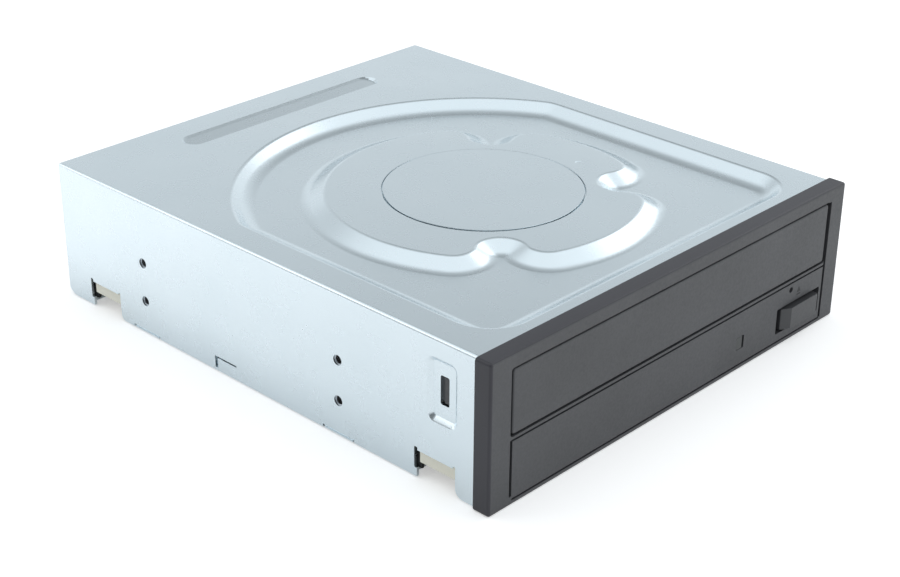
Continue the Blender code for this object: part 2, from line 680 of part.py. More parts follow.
def front_bezel():
    half = HALF_WIDTH + BEZEL_LIP
    low = -BEZEL_DROP
    high = CHASSIS_HEIGHT + BEZEL_RISE
    face = -BEZEL_THICKNESS
    bm = bmesh.new()
    rows = []
    for y, inset in ((0, 0), (face + 1.0, 0), (face + 0.3, 0.3), (face, 1.0)):
        outline = rectangle(-half + inset, half - inset, low + inset, high - inset, 1.2, 3)
        rows.append([bm.verts.new((x, y, z)) for x, z in outline])
    for back, front in zip(rows, rows[1:]):
        bridge(bm, back, front)
    bm.faces.new(rows[0])
    bm.faces.new(rows[-1])
    joined = bmesh.new()
    for side in (-1, 1):
        arm = sorted((side * LATCH_X, side * (LATCH_X + LATCH_THICKNESS)))
        add_box(joined, arm, (-1, LATCH_SLOT_Y[1] + 0.4), (LATCH_SLOT_Z[0] + 0.4, LATCH_SLOT_Z[1] - 0.4))
    nubs = bmesh.new()
    for side in (-1, 1):
        root = LATCH_X + LATCH_THICKNESS - 0.5
        tip = HALF_WIDTH - 0.425
        start = LATCH_SLOT_Y[0] + 0.3
        hook = [(root, start), (tip, start), (tip - 0.3, start + 0.9), (root, LATCH_SLOT_Y[1] - 0.3)]
        add_prism(nubs, [(side * x, y) for x, y in hook], LATCH_SLOT_Z[0] + 0.7, LATCH_SLOT_Z[1] - 0.7)
    openings = bmesh.new()
    gap = DOOR_HALF + DOOR_GAP
    add_box(openings, (-gap, gap), (face - 1, 1), (DOOR_Z[0] - DOOR_GAP + 0.1, DOOR_Z[1] + DOOR_GAP))
    button = rectangle(BUTTON_X[0] - 0.4, BUTTON_X[1] + 0.9, BUTTON_Z[0] - 0.3, BUTTON_Z[1] + 0.3, 0.4, 2)
    add_prism(openings, button, face - 1, 1, "Y")
    window = rectangle(LED_X - 1.8, LED_X + 1.8, LED_Z - 1.95, LED_Z + 1.95, 0.3, 2)
    add_prism(openings, window, face - 1, 1, "Y")
    add_cylinder(openings, (EJECT_HOLE_X, EJECT_HOLE_Z), EJECT_HOLE_RADIUS, face - 1, 1, "Y", 14)
    skin = (face - 1, face + 0.9)
    groove = shape((add_box, (-DOOR_HALF - 0.4, -DOOR_HALF + 0.2), skin, (2.3, DOOR_Z[0])))
    seam_z = (DOOR_Z[0] - 1.8, DOOR_Z[0] - 1.3)
    seam = shape((add_box, (-DOOR_HALF, DOOR_HALF + 0.4), skin, seam_z))
    ledge = bmesh.new()
    ledge_z = (DOOR_Z[0] - 1.4, DOOR_Z[0])
    add_box(ledge, (-DOOR_HALF - 0.3, DOOR_HALF + 0.3), (face - 1, face + 0.7), ledge_z)
    add_box(ledge, (-DOOR_HALF + 0.2, DOOR_HALF + 0.4), (face - 1, face + 0.5), (1.0, 1.6))
    edge_z = (2.3, DOOR_Z[1] + 0.2)
    edge = shape((add_box, (DOOR_HALF + 0.4, DOOR_HALF + 1.1), (face - 1, face + 1.2), edge_z))
    hollow_z = (1.7, DOOR_Z[0] - 2.2)
    hollow = shape((add_box, (-half + 2.4, half - 2.4), (face + BEZEL_WALL, 1), hollow_z))
    cuts = [hollow, openings, groove, seam, ledge, edge]
    make("front_bezel", bm, "black_plastic", joined=[joined, nubs], cuts=cuts)


def led_lens():
    wall = -BEZEL_THICKNESS + BEZEL_WALL
    outline = rectangle(LED_X - 1.5, LED_X + 1.5, LED_Z - 1.65, LED_Z + 1.65, 0.3, 2)
    bm = shape((add_prism, outline, -BEZEL_THICKNESS - 0.1, 0.2, "Y"))
    rim = shape((add_box, (LED_X - 2.5, LED_X + 2.5), (wall + GAP, wall + 1.1), (LED_Z - 2.6, LED_Z + 2.6)))
    make("led_lens", bm, "lens", joined=[rim])


def eject_button():
    wall = -BEZEL_THICKNESS + BEZEL_WALL
    proud = -BEZEL_THICKNESS - BUTTON_PROUD
    x0, x1 = BUTTON_X
    outline = [(x0, wall + 1.0), (x0, -BEZEL_THICKNESS + 0.2), (x0 + 0.5, -BEZEL_THICKNESS - 0.6)]
    outline += [(x0 + BUTTON_SLOPE, proud + 0.3), (x0 + BUTTON_SLOPE + 1.2, proud)]
    outline += arc(x1 - 0.6, proud + 0.6, 0.6, -90, 0, 3) + [(x1, wall + 1.0)]
    bm = shape((add_prism, outline, *BUTTON_Z))
    flange = (wall + GAP, wall + 1.5)
    rim = shape((add_box, (x0 - 1.6, x1 + 1.8), flange, (BUTTON_Z[0] - 1.3, BUTTON_Z[1] + 1.3)))
    stem_y = (wall + 1.2, SWITCH_Y[0] - 2.9)
    stem = shape((add_box, (SWITCH_X - 1.5, SWITCH_X + 1.5), stem_y, (SWITCH_Z - 1.2, SWITCH_Z + 1.2)))
    origin = ((x0 + x1) / 2, -BEZEL_THICKNESS, (BUTTON_Z[0] + BUTTON_Z[1]) / 2)
    make("eject_button", bm, "black_plastic", origin, joined=[rim, stem])


def tray_door():
    face = -BEZEL_THICKNESS
    back = face + DOOR_THICKNESS
    bm = bmesh.new()
    rows = []
    for y, inset in ((back, 0), (face + 0.5, 0), (face + 0.15, 0.15), (face, 0.5)):
        half = DOOR_HALF - inset
        outline = rectangle(-half, half, DOOR_Z[0] + inset, DOOR_Z[1] - inset, 0.8, 3)
        rows.append([bm.verts.new((x, y, z)) for x, z in outline])
    for one, two in zip(rows, rows[1:]):
        bridge(bm, one, two)
    bm.faces.new(rows[0])
    bm.faces.new(rows[-1])
    pockets = bmesh.new()
    bay = (2 * DOOR_HALF - 3) / 4
    for number in range(4):
        x0 = -DOOR_HALF + 2.5 + number * bay
        add_box(pockets, (x0, x0 + bay - 2), (face + DOOR_WALL, back + 1), (DOOR_Z[0] + 2, DOOR_Z[1] - 2))
    make("tray_door", bm, "black_plastic", cuts=[pockets])


# Main frame, tray and loading drive

def main_frame():
    inner = WALL_INNER
    lip = TRAY_HALF - 2.8
    seat = TRAY_HALF - 3.8
    ledge = PCB_HALF - 4.3
    over = TRAY_Z[1] + 0.4
    under = TRAY_Z[0] - GAP
    foot = PCB_Z[0] - GAP
    profile = [(ledge, FRAME_BOTTOM), (FRAME_HALF, FRAME_BOTTOM), (FRAME_HALF, FRAME_TOP), (lip, FRAME_TOP)]
    profile += [(lip, over), (inner, over), (inner, under), (seat, under)]
    profile += [(seat, TRAY_Z[0] - 2.6), (inner, TRAY_Z[0] - 2.6), (inner, foot), (ledge, foot)]
    bm = bmesh.new()
    add_prism(bm, profile, *FRAME_Y, "Y")
    add_prism(bm, [(-x, z) for x, z in reversed(profile)], *FRAME_Y, "Y")
    floor = [(-inner - 0.5, FRAME_Y[0]), (23.5, FRAME_Y[0]), (23.5, 19.0), (inner + 0.5, 19.0)]
    floor += [(inner + 0.5, FLOOR_REAR_Y), (-inner - 0.5, FLOOR_REAR_Y)]
    deck = shape((add_prism, floor, *FLOOR_Z))
    rail = shape((add_box, (-inner - 0.5, inner + 0.5), (FLOOR_REAR_Y - 0.4, CAM_Y[1] + 0.8), CAM_RAIL_Z))
    fence_z = (CAM_RAIL_Z[0] + 0.2, FLOOR_Z[1] + 2.9)
    fence = shape((add_box, (-inner - 0.4, inner + 0.4), (FLOOR_REAR_Y - 0.3, CAM_Y[0] - GAP), fence_z))
    rear_z = (CONNECTOR_Z[1] + 0.5, FRAME_TOP - 0.2)
    rear = shape((add_box, (-inner - 0.5, inner + 0.5), (SUB_Y[1] + 1.5, FRAME_Y[1] - 0.2), rear_z))
    posts = bmesh.new()
    add_cylinder(posts, (TRAY_GEAR_X, GEAR_Y), POST_RADIUS, FLOOR_Z[1] - 0.5, RACK_Z[1] - 0.3, "Z", 12)
    add_cylinder(posts, (PULLEY_X, GEAR_Y), POST_RADIUS, FLOOR_Z[1] - 0.5, PULLEY_Z[1] - 0.3, "Z", 12)
    for x in (FRONT_PCB_X[0] + 6, FRONT_PCB_X[1] - 7.4):
        spot = (x, FRONT_PCB_Y[1] - 3)
        add_cylinder(posts, spot, 2.0, FRONT_PCB_Z[1] + GAP, FLOOR_Z[0] + 0.5, "Z", 12)
    cuts = bmesh.new()
    motor_hole = MOTOR_RADIUS + GAP + 0.1
    add_cylinder(cuts, (MOTOR_X, GEAR_Y), motor_hole, FLOOR_Z[0] - 1, FLOOR_Z[1] + 1, "Z", 24)
    for side in (-1, 1):
        clear = sorted((side * (LATCH_X - 0.4), side * (FRAME_HALF + 1)))
        latch_z = (LATCH_SLOT_Z[0] - 1.5, LATCH_SLOT_Z[1] + 0.9)
        add_box(cuts, clear, (FRAME_Y[0] - 1, LATCH_SLOT_Y[1] + 2), latch_z)
        under = sorted((side * (PCB_HALF - 5.2), side * (FRAME_HALF + 1)))
        for low, high in (NOTCH_FRONT_Y, NOTCH_REAR_Y):
            add_box(cuts, under, (low - 1.6, high + 1.6), (FRAME_BOTTOM - 1, 4.0))
        bearing = sorted((side * (inner - 1), side * (inner + 2.5)))
        add_cylinder(cuts, (PIVOT_Y, PIVOT_Z), PIVOT_PIN_RADIUS + GAP, *bearing, "X", 16)
        for y in SCREW_YS:
            add_cylinder(cuts, (side * SCREW_X, y), 1.5, FRAME_BOTTOM - 1, 8.0, "Z", 10)
    make("main_frame", bm, "cream_plastic", joined=[deck, rail, fence, rear, posts], cuts=[cuts])


def tray():
    x = TRAY_HALF
    slot = TRAY_SLOT_HALF
    outline = [(-x, TRAY_Y[0]), (x, TRAY_Y[0]), (x, TRAY_Y[1] - 2), (x - 2, TRAY_Y[1]), (slot, TRAY_Y[1])]
    outline += arc(0, DISC_Y, slot, 0, -180, 14)
    outline += [(-slot, TRAY_Y[1]), (-x + 2, TRAY_Y[1]), (-x, TRAY_Y[1] - 2)]
    bm = shape((add_prism, outline, *TRAY_Z))
    apron_z = (DOOR_Z[0] + 1.2, DOOR_Z[1] - 1.5)
    apron = shape((add_box, (-TRAY_HALF + 3.4, TRAY_HALF - 3.4), (TRAY_Y[0], TRAY_Y[0] + 2.6), apron_z))
    rack = bmesh.new()
    root = RACK_PITCH_X - 1.15 * RACK_MODULE
    tip = RACK_PITCH_X + 0.85 * RACK_MODULE
    pitch = math.pi * RACK_MODULE
    count = math.floor((TRAY_TRAVEL + 7) / pitch)
    half = pitch / 4 - 0.14
    teeth = [(root - 2.8, GEAR_Y - 5), (root, GEAR_Y - 5)]
    for tooth in range(count):
        y = GEAR_Y - pitch + pitch * tooth
        teeth += [(root, y - half - 0.36), (tip, y - half + 0.3)]
        teeth += [(tip, y + half - 0.3), (root, y + half + 0.36)]
    end = GEAR_Y - pitch + pitch * count
    teeth += [(root, end), (root - 2.8, end)]
    add_prism(rack, teeth, RACK_Z[0], TRAY_Z[0] + 0.5)
    tabs = bmesh.new()
    for angle in (35, 145, 215, 325):
        turn = math.radians(angle)
        cx = (DISC_WELL_RADIUS - 0.5) * math.cos(turn)
        cy = DISC_Y + (DISC_WELL_RADIUS - 0.5) * math.sin(turn)
        add_box(tabs, (cx - 3, cx + 3), (cy - 3, cy + 3), (TRAY_Z[1] - 0.9, TRAY_Z[1] + 0.1))
    centre = (0, DISC_Y)
    wide = shape((add_cylinder, centre, DISC_WELL_RADIUS, DISC_WELL_FLOOR, TRAY_Z[1] + 1, "Z", 48))
    small = shape((add_cylinder, centre, SMALL_WELL_RADIUS, SMALL_WELL_FLOOR, DISC_WELL_FLOOR + 1, "Z", 36))
    make("tray", bm, "tray_plastic", joined=[apron, rack], cuts=[wide, small], added=[tabs])


def loading_drive():
    wheel_at = (TRAY_GEAR_X, GEAR_Y)
    pulley_at = (PULLEY_X, GEAR_Y)
    half_tooth = math.pi / TRAIN_PINION_TEETH
    rack_phase = math.pi + math.pi / RACK_PINION_TEETH
    wheel = shape((add_prism, tooth_ring(TRAIN_WHEEL_TEETH, TRAIN_MODULE, *wheel_at, 0.0), *TRAIN_Z))
    hub = shape((add_cylinder, wheel_at, 3.6, TRAIN_Z[0] + 0.4, RACK_Z[1] - 0.5, "Z", 12))
    teeth = tooth_ring(RACK_PINION_TEETH, RACK_MODULE, *wheel_at, rack_phase)
    pinion = shape((add_prism, teeth, RACK_Z[0] + 0.2, RACK_Z[1]))
    bore = shape((add_cylinder, wheel_at, POST_RADIUS + GAP, TRAIN_Z[0] - 1, RACK_Z[1] + 1, "Z", 14))
    origin = (*wheel_at, 0)
    make("tray_drive_gear", wheel, "gear_plastic", origin, joined=[hub, pinion], cuts=[bore])
    teeth = tooth_ring(TRAIN_PINION_TEETH, TRAIN_MODULE, *pulley_at, math.pi + half_tooth)
    small = shape((add_prism, teeth, TRAIN_Z[0], PULLEY_Z[0] + 0.3))
    groove = PULLEY_GROOVE
    low, high = PULLEY_Z
    rim = groove + 1.4
    profile = [(0, low), (rim, low), (rim, low + 0.5), (groove, low + 0.8), (groove, high - 0.8)]
    profile += [(rim, high - 0.5), (rim, high), (4.2, high), (4.2, high - 0.6), (0, high - 0.6)]
    pulley = shape((add_turned, profile, pulley_at, "Z", 20))
    bore = shape((add_cylinder, pulley_at, POST_RADIUS + GAP, TRAIN_Z[0] - 1, PULLEY_Z[1] + 1, "Z", 14))
    make("pulley_gear", pulley, "gear_plastic", (*pulley_at, 0), joined=[small], cuts=[bore])
    motor_at = (MOTOR_X, GEAR_Y)
    groove = MOTOR_GROOVE
    rim = groove + 1.6
    profile = [(0, MOTOR_TOP - 1.2), (1.0, MOTOR_TOP - 1.2), (1.0, low), (rim, low), (rim, low + 0.5)]
    profile += [(groove, low + 0.8), (groove, high - 0.8), (rim, high - 0.5), (rim, high), (0, high)]
    make("motor_pulley", shape((add_turned, profile, motor_at, "Z", 14)), "gear_plastic", (*motor_at, 0))
    base = MOTOR_TOP - MOTOR_LENGTH
    edge = MOTOR_RADIUS - 0.8
    profile = [(0, base), (5, base), (5, base + 0.6), (edge, base + 0.6), (MOTOR_RADIUS, base + 1.4)]
    profile += [(MOTOR_RADIUS, MOTOR_TOP - 0.8), (edge, MOTOR_TOP), (3.0, MOTOR_TOP)]
    profile += [(3.0, MOTOR_TOP + 0.5), (1.3, MOTOR_TOP + 0.5), (1.3, MOTOR_TOP - 1.6), (0, MOTOR_TOP - 1.6)]
    make("loading_motor", shape((add_turned, profile, motor_at, "Z", 18)), "steel")
    outer = belt_outline(GAP + BELT_THICKNESS)
    inner = belt_outline(GAP)
    bm = shape((add_prism, outer, BELT_Z - BELT_WIDTH / 2, BELT_Z + BELT_WIDTH / 2, "Z", (inner,)))
    make("drive_belt", bm, "rubber")


def slide_cam():
    low = CAM_FOOT_Z
    x0 = CAM_PINS_X[0] - 5
    x1 = CAM_PINS_X[1] + CAM_TRAVEL + 5
    top = CAM_PIN_Z + 3.2
    outline = [(x0, low), (x1, low), (x1, EJECT_HOLE_Z - 3), (EJECT_HOLE_X + 3, EJECT_HOLE_Z - 3)]
    outline += [(EJECT_HOLE_X + 3, EJECT_HOLE_Z + 3), (x1, EJECT_HOLE_Z + 3), (x1, top), (x0, top)]
    bm = shape((add_prism, outline, *CAM_Y, "Y"))
    slots = bmesh.new()
    for x in CAM_PINS_X:
        far = (x + CAM_TRAVEL, CAM_PIN_Z - CAM_DROP)
        slot = slanted_slot(x, CAM_PIN_Z, *far, CAM_PIN_RADIUS + CAM_SLOT_PLAY, 6)
        add_prism(slots, slot, CAM_Y[0] - 1, CAM_Y[1] + 1, "Y")
    lug = [(EJECT_HOLE_X - 3, CAM_Y[0] + 0.5), (EJECT_HOLE_X - 3, CAM_Y[0] - 6)]
    lug.append((EJECT_HOLE_X + 3, CAM_Y[0] + 0.5))
    wedge = shape((add_prism, lug, EJECT_HOLE_Z - 2, EJECT_HOLE_Z + 2))
    make("slide_cam", bm, "gear_plastic", joined=[wedge], cuts=[slots])


# Lift frame with the traverse

def sub_frame():
    ring = rectangle(-SUB_HALF, SUB_HALF, *SUB_Y, 3.0, 3)
    hole = rectangle(-SUB_HALF + SUB_BAR, SUB_HALF - SUB_BAR, SUB_Y[0] + 5, SUB_Y[1] - 4, 2.0, 3)
    bm = shape((add_prism, ring, *SUB_Z, "Z", (hole,)))
    joined = bmesh.new()
    inner = SUB_HALF - SUB_BAR
    for side in (-1, 1):
        shelf = sorted((side * (DAMPER_X - 4), side * (inner + 0.5)))
        add_box(joined, shelf, (SUB_Y[0] + 4.5, DAMPER_Y[0] + 4), (SUB_Z[0] + 0.1, SUB_Z[0] + 2))
        add_box(joined, shelf, (DAMPER_Y[1] - 4, SUB_Y[1] - 3.5), (SUB_Z[0] + 0.1, SUB_Z[0] + 2))
        pin = sorted((side * (SUB_HALF - 1), side * (WALL_INNER + 2.0)))
        add_cylinder(joined, (PIVOT_Y, PIVOT_Z), PIVOT_PIN_RADIUS, *pin, "X", 16)
    pins = bmesh.new()
    for x in CAM_PINS_X:
        add_box(pins, (x - 4, x + 4), (SUB_Y[0] + 0.2, SUB_Y[0] + 4), (SUB_Z[0] + 1, CAM_PIN_Z + 2.2))
    studs = bmesh.new()
    for x in CAM_PINS_X:
        add_cylinder(studs, (x, CAM_PIN_Z), CAM_PIN_RADIUS, CAM_Y[0] + 0.1, SUB_Y[0] + 1.5, "Y", 14)
    holes = bmesh.new()
    for side in (-1, 1):
        for y in DAMPER_Y:
            spot = (side * DAMPER_X, y)
            add_cylinder(holes, spot, DAMPER_BORE, SUB_Z[0] - 1, SUB_Z[0] + 3, "Z", 12)
    origin = (0, PIVOT_Y, PIVOT_Z)
    make("sub_frame", bm, "black_plastic", origin, joined=[joined, pins, studs], cuts=[holes])


def dampers():
    number = 0
    seat = SUB_Z[0] + 2 + GAP
    for side in (-1, 1):
        for y in DAMPER_Y:
            number += 1
            at = (side * DAMPER_X, y)
            high = DECK_Z[0] - GAP
            waist = (seat + high) / 2
            profile = [(DAMPER_BORE, seat), (DAMPER_RADIUS, seat), (DAMPER_RADIUS, waist - 0.5)]
            profile += [(DAMPER_RADIUS - 0.7, waist), (DAMPER_RADIUS, waist + 0.5)]
            profile += [(DAMPER_RADIUS, high), (DAMPER_BORE, high)]
            make(f"damper_{number}", shape((add_turned, profile, at, "Z", 10)), "rubber")
            head = DECK_Z[1] + GAP
            shank = DAMPER_BORE - GAP
            profile = [(0, SUB_Z[0] + 0.5), (shank, SUB_Z[0] + 0.5), (shank, head), (2.8, head)]
            profile += [(2.8, head + 0.9), (2.0, head + 1.3), (0, head + 1.3)]
            make(f"damper_screw_{number}", shape((add_turned, profile, at, "Z", 8)), "steel")


def traverse_chassis():
    bm = shape((add_prism, rectangle(-DECK_HALF, DECK_HALF, *DECK_Y, 4.0, 3), *DECK_Z))
    brackets = bmesh.new()
    for side in (-1, 1):
        for y in (ROD_Y[0] - 0.3, ROD_Y[1] - 2.7):
            width = sorted((side * (ROD_X - 2), side * (ROD_X + 2)))
            add_box(brackets, width, (y, y + 3), (ROD_Z - 2.4, DECK_Z[0] + 0.3))
    end = (ROD_Y[1] - 2.7, ROD_Y[1] + 0.3)
    add_box(brackets, (LEAD_X - 2.2, LEAD_X + 2.2), end, (LEAD_Z - 2.4, DECK_Z[0] + 0.3))
    through = (DECK_Z[0] - 1, DECK_Z[1] + 1)
    openings = bmesh.new()
    add_cylinder(openings, (0, DISC_Y), ROTOR_RADIUS + 1.0, *through, "Z", 24)
    for side in (-1, 1):
        for y in DAMPER_Y:
            add_cylinder(openings, (side * DAMPER_X, y), DAMPER_BORE, *through, "Z", 12)
    window = bmesh.new()
    far = PICKUP_Y[1] + PICKUP_TRAVEL + 1.4
    left = -PICKUP_HALF - 2.8
    edge = LEAD_X - LEAD_MOTOR_RADIUS - GAP
    right = LEAD_X + LEAD_MOTOR_RADIUS + GAP
    outline = [(left, PICKUP_Y[0] - 1.2), (edge, PICKUP_Y[0] - 1.2), (edge, LEAD_MOTOR_Y[0] - GAP)]
    narrow = LEAD_X + LEAD_RADIUS + 0.6
    outline += [(right, LEAD_MOTOR_Y[0] - GAP), (right, LEAD_MOTOR_Y[1] + 1), (narrow, LEAD_MOTOR_Y[1] + 1)]
    outline += [(narrow, far), (left, far)]
    add_prism(window, outline, *through)
    bores = bmesh.new()
    for x in (-ROD_X, ROD_X):
        add_cylinder(bores, (x, ROD_Z), ROD_RADIUS + GAP, ROD_Y[0] - 2, ROD_Y[1] + 2, "Y", 12)
    add_cylinder(bores, (LEAD_X, LEAD_Z), LEAD_RADIUS + GAP, ROD_Y[1] - 4, ROD_Y[1] + 2, "Y", 12)
    make("traverse_chassis", bm, "steel", joined=[brackets], cuts=[openings, window, bores])


def spindle():
    at = (0, DISC_Y)
    base = (DECK_Z[0] - 5.1, DECK_Z[0] - 3.9)
    post_at = ROTOR_RADIUS + 3.8
    plate = rectangle(-post_at - 1.8, post_at + 1.8, DISC_Y - post_at - 2, DISC_Y + 14, 6.0)
    bm = shape((add_prism, plate, *base))
    inner = ROTOR_RADIUS - 2.0
    span = (base[1] - 0.4, DECK_Z[1] + 1.0)
    profile = [(1.9, span[0]), (inner, span[0]), (inner, span[1]), (1.9, span[1])]
    core = shape((add_turned, profile, at, "Z", 16))
    posts = bmesh.new()
    for angle in (210, 270, 330):
        turn = math.radians(angle)
        spot = (post_at * math.cos(turn), DISC_Y + post_at * math.sin(turn))
        add_cylinder(posts, spot, 1.6, base[1] - 0.4, DECK_Z[0] - GAP, "Z", 12)
    make("spindle_stator", bm, "steel", joined=[core, posts])
    rim = ROTOR_RADIUS
    ceiling = DECK_Z[1] + 1.3
    profile = [(0, base[1] + 0.5), (1.5, base[1] + 0.5), (1.5, ceiling), (rim - 1.4, ceiling)]
    profile += [(rim - 1.4, base[1] + 0.8), (rim, base[1] + 0.8), (rim, ceiling + 0.9)]
    profile += [(rim - 0.5, ceiling + 1.4), (1.5, ceiling + 1.4)]
    profile += [(1.5, TURNTABLE_Z - 1.2), (0, TURNTABLE_Z - 1.2)]
    make("spindle_rotor", shape((add_turned, profile, at, "Z", 18)), "steel", (*at, 0))
    low = ceiling + 1.7
    deck = TURNTABLE_Z
    profile = [(1.8, low), (rim - 1, low), (rim - 1, low + 1), (rim + 1.5, low + 2.2), (rim + 1.5, deck)]
    profile += [(HUB_RADIUS, deck), (HUB_RADIUS, deck + 1.9), (HUB_RADIUS - 2.0, deck + 3.0)]
    profile += [(0, deck + 3.0), (0, deck - 0.9), (1.8, deck - 0.9)]
    make("turntable", shape((add_turned, profile, at, "Z", 18)), "black_plastic", (*at, 0))
    inner = HUB_RADIUS + 3.1
    profile = [(inner, deck + GAP), (rim + 1.2, deck + GAP), (rim + 1.2, deck + 0.7), (inner, deck + 0.7)]
    make("turntable_pad", shape((add_turned, profile, at, "Z", 18)), "rubber", (*at, 0))


def pickup():
    y0, y1 = PICKUP_Y
    front = arc(0, DISC_Y, ROTOR_RADIUS + 2.2, 120, 60, 6)
    outline = [(-PICKUP_HALF, y1 - 3), (-PICKUP_HALF, y0 + 3), (-PICKUP_HALF + 5, y0)] + front
    outline += [(PICKUP_HALF - 5, y0), (PICKUP_HALF, y0 + 3), (PICKUP_HALF, y1 - 3)]
    outline += [(PICKUP_HALF - 4, y1), (-PICKUP_HALF + 4, y1)]
    outline = [(x, max(y, y0)) for x, y in outline]
    bm = shape((add_prism, outline, *PICKUP_Z))
    arms = bmesh.new()
    for side in (-1, 1):
        span = sorted((side * (PICKUP_HALF - 1), side * (ROD_X + 2.5)))
        add_box(arms, span, (y0 + 4.5, y1 - 4), (ROD_Z - 2.2, ROD_Z + 2.2))
    bores = bmesh.new()
    for x in (-ROD_X, ROD_X):
        add_cylinder(bores, (x, ROD_Z), ROD_RADIUS + GAP, y0 - 2, y1 + 2, "Y", 12)
    make("pickup", bm, "diecast", joined=[arms], cuts=[bores])
    arm_edge = ROD_X + 2.5
    nut_edge = LEAD_X - LEAD_RADIUS - GAP
    bm = shape((add_box, (arm_edge + 0.2, nut_edge), (y0 + 8, y0 + 16), (LEAD_Z - 1.6, LEAD_Z + 1.4)))
    make("lead_nut", bm, "gear_plastic")
    top = PICKUP_Z[1] + 0.7
    bm = shape((add_prism, rectangle(-6, 6, LENS_Y - 5.5, LENS_Y + 5.5, 1.0, 3), top, top + 2.8))
    pocket = shape((add_cylinder, (0, LENS_Y), LENS_RADIUS + GAP, top + 1.8, top + 4, "Z", 16))
    origin = (0, LENS_Y, top)
    make("lens_holder", bm, "black_plastic", origin, cuts=[pocket])
    low = top + 1.8 + GAP
    rim = LENS_RADIUS
    profile = [(0, low), (rim, low), (rim, low + 0.8), (rim - 0.8, low + 1.3), (rim - 1.6, low + 1.5)]
    profile.append((0, low + 1.55))
    make("objective_lens", shape((add_turned, profile, (0, LENS_Y), "Z", 14)), "lens", origin)


def guides():
    for name, x in (("guide_rod_left", -ROD_X), ("guide_rod_right", ROD_X)):
        make(name, shape((add_cylinder, (x, ROD_Z), ROD_RADIUS, *ROD_Y, "Y", 12)), "steel")
    at = (LEAD_X, LEAD_Z)
    y0, y1 = LEAD_MOTOR_Y
    can = LEAD_MOTOR_RADIUS
    profile = [(0, y0), (can - 0.6, y0), (can, y0 + 0.6), (can, y1), (0.9, y1), (0.9, y1 - 3), (0, y1 - 3)]
    make("sled_motor", shape((add_turned, profile, at, "Y", 14)), "steel")
    profile = [(0, y1 - 2.6), (0.6, y1 - 2.6), (0.6, y1 + 0.4), (LEAD_RADIUS, y1 + 0.8)]
    profile += [(LEAD_RADIUS, ROD_Y[1] - 0.4), (0, ROD_Y[1])]
    make("lead_screw", shape((add_turned, profile, at, "Y", 10)), "steel", (LEAD_X, 0, LEAD_Z))


def clamper():
    at = (0, DISC_Y)
    flange = CHASSIS_HEIGHT - PLATEAU_DROP - WELL_DEPTH + 2 * GAP
    foot = TURNTABLE_Z + 1.4
    hub = WELL_HOLE_RADIUS - 0.8
    rim = WELL_HOLE_RADIUS + 3.1
    pocket = MAGNET_RADIUS + 0.4
    seat = flange - 1.6
    cup = HUB_RADIUS + 0.9
    profile = [(cup, foot), (hub, foot), (hub, flange), (rim, flange), (rim, flange + 1.1)]
    profile += [(pocket, flange + 1.1), (pocket, seat), (0, seat), (0, foot + 2.7), (cup, foot + 2.7)]
    make("clamper", shape((add_turned, profile, at, "Z", 18)), "gear_plastic", (*at, 0))
    magnet = shape((add_cylinder, at, MAGNET_RADIUS, seat + GAP, flange + 0.8, "Z", 16))
    make("clamper_magnet", magnet, "magnet", (*at, 0))


# Boards and their parts

def boards():
    top = PCB_Z[1] + GAP
    outline = rectangle(-PCB_HALF, PCB_HALF, *PCB_Y, 1.5, 2)
    make("main_pcb", shape((add_prism, outline, *PCB_Z)), "board")
    chips = (
        ("controller_chip", (-20, 0), (98, 118), 1.4),
        ("memory_chip", (-38, -27), (100, 117), 1.2),
        ("motor_driver_chip", (6, 17), (104, 118), 1.6),
        ("pickup_connector", (4, 26), (126, 130), 2.6),
        ("motor_connector", (-62, -56), (70, 88), 3.0),
    )
    for name, x, y, height in chips:
        make(name, shape((add_box, x, y, (top, top + height))), "chip")
    rear_row = PCB_Y[1] - 10.0
    for number, (x, y) in enumerate(((34.0, rear_row), (44.0, rear_row), (56.5, rear_row - 6.0)), 1):
        cap = top + CAPACITOR_HEIGHT
        profile = [(0, top), (CAPACITOR_RADIUS, top), (CAPACITOR_RADIUS, cap - 0.4)]
        profile += [(CAPACITOR_RADIUS - 0.4, cap), (0, cap)]
        make(f"capacitor_{number}", shape((add_turned, profile, (x, y), "Z", 12)), "steel")
    rear = CHASSIS_DEPTH - 0.3
    bm = shape((add_box, CONNECTOR_X, (SUB_Y[1] + 0.8, rear), CONNECTOR_Z))
    mouths = bmesh.new()
    power = (CONNECTOR_X[0] + 2, CONNECTOR_X[0] + 2 + POWER_SOCKET_WIDTH)
    data = (CONNECTOR_X[1] - 2 - DATA_SOCKET_WIDTH, CONNECTOR_X[1] - 2)
    for low, high in (power, data):
        add_box(mouths, (low, high), (rear - 6, rear + 1), (CONNECTOR_Z[0] + 1.4, CONNECTOR_Z[1] - 1.4))
    make("sata_connector", bm, "chip", cuts=[mouths])
    bm = shape((add_prism, rectangle(*FRONT_PCB_X, *FRONT_PCB_Y, 1.0, 2), *FRONT_PCB_Z))
    make("front_pcb", bm, "board")
    low = FRONT_PCB_Z[1] + GAP
    bm = shape((add_box, (SWITCH_X - 3.2, SWITCH_X + 3.2), SWITCH_Y, (low, SWITCH_Z + 2.6)))
    bore = shape((add_cylinder, (SWITCH_X, SWITCH_Z), 1.7, SWITCH_Y[0] - 1, SWITCH_Y[0] + 2, "Y", 14))
    make("eject_switch", bm, "chip", cuts=[bore])
    start = SWITCH_Y[0] - 2.3
    bm = shape((add_cylinder, (SWITCH_X, SWITCH_Z), 1.4, start, SWITCH_Y[0] + 1.2, "Y", 14))
    make("switch_plunger", bm, "gear_plastic", (SWITCH_X, start, SWITCH_Z))
    bm = shape((add_box, (LED_X - 1.6, LED_X + 1.6), (1.4, 5.2), (low, LED_Z + 1.6)))
    dome = shape((add_turned, [(0, 0.6), (1.3, 1.0), (1.5, 1.8), (0, 1.8)], (LED_X, LED_Z), "Y", 16))
    make("indicator_led", bm, "lens", joined=[dome])


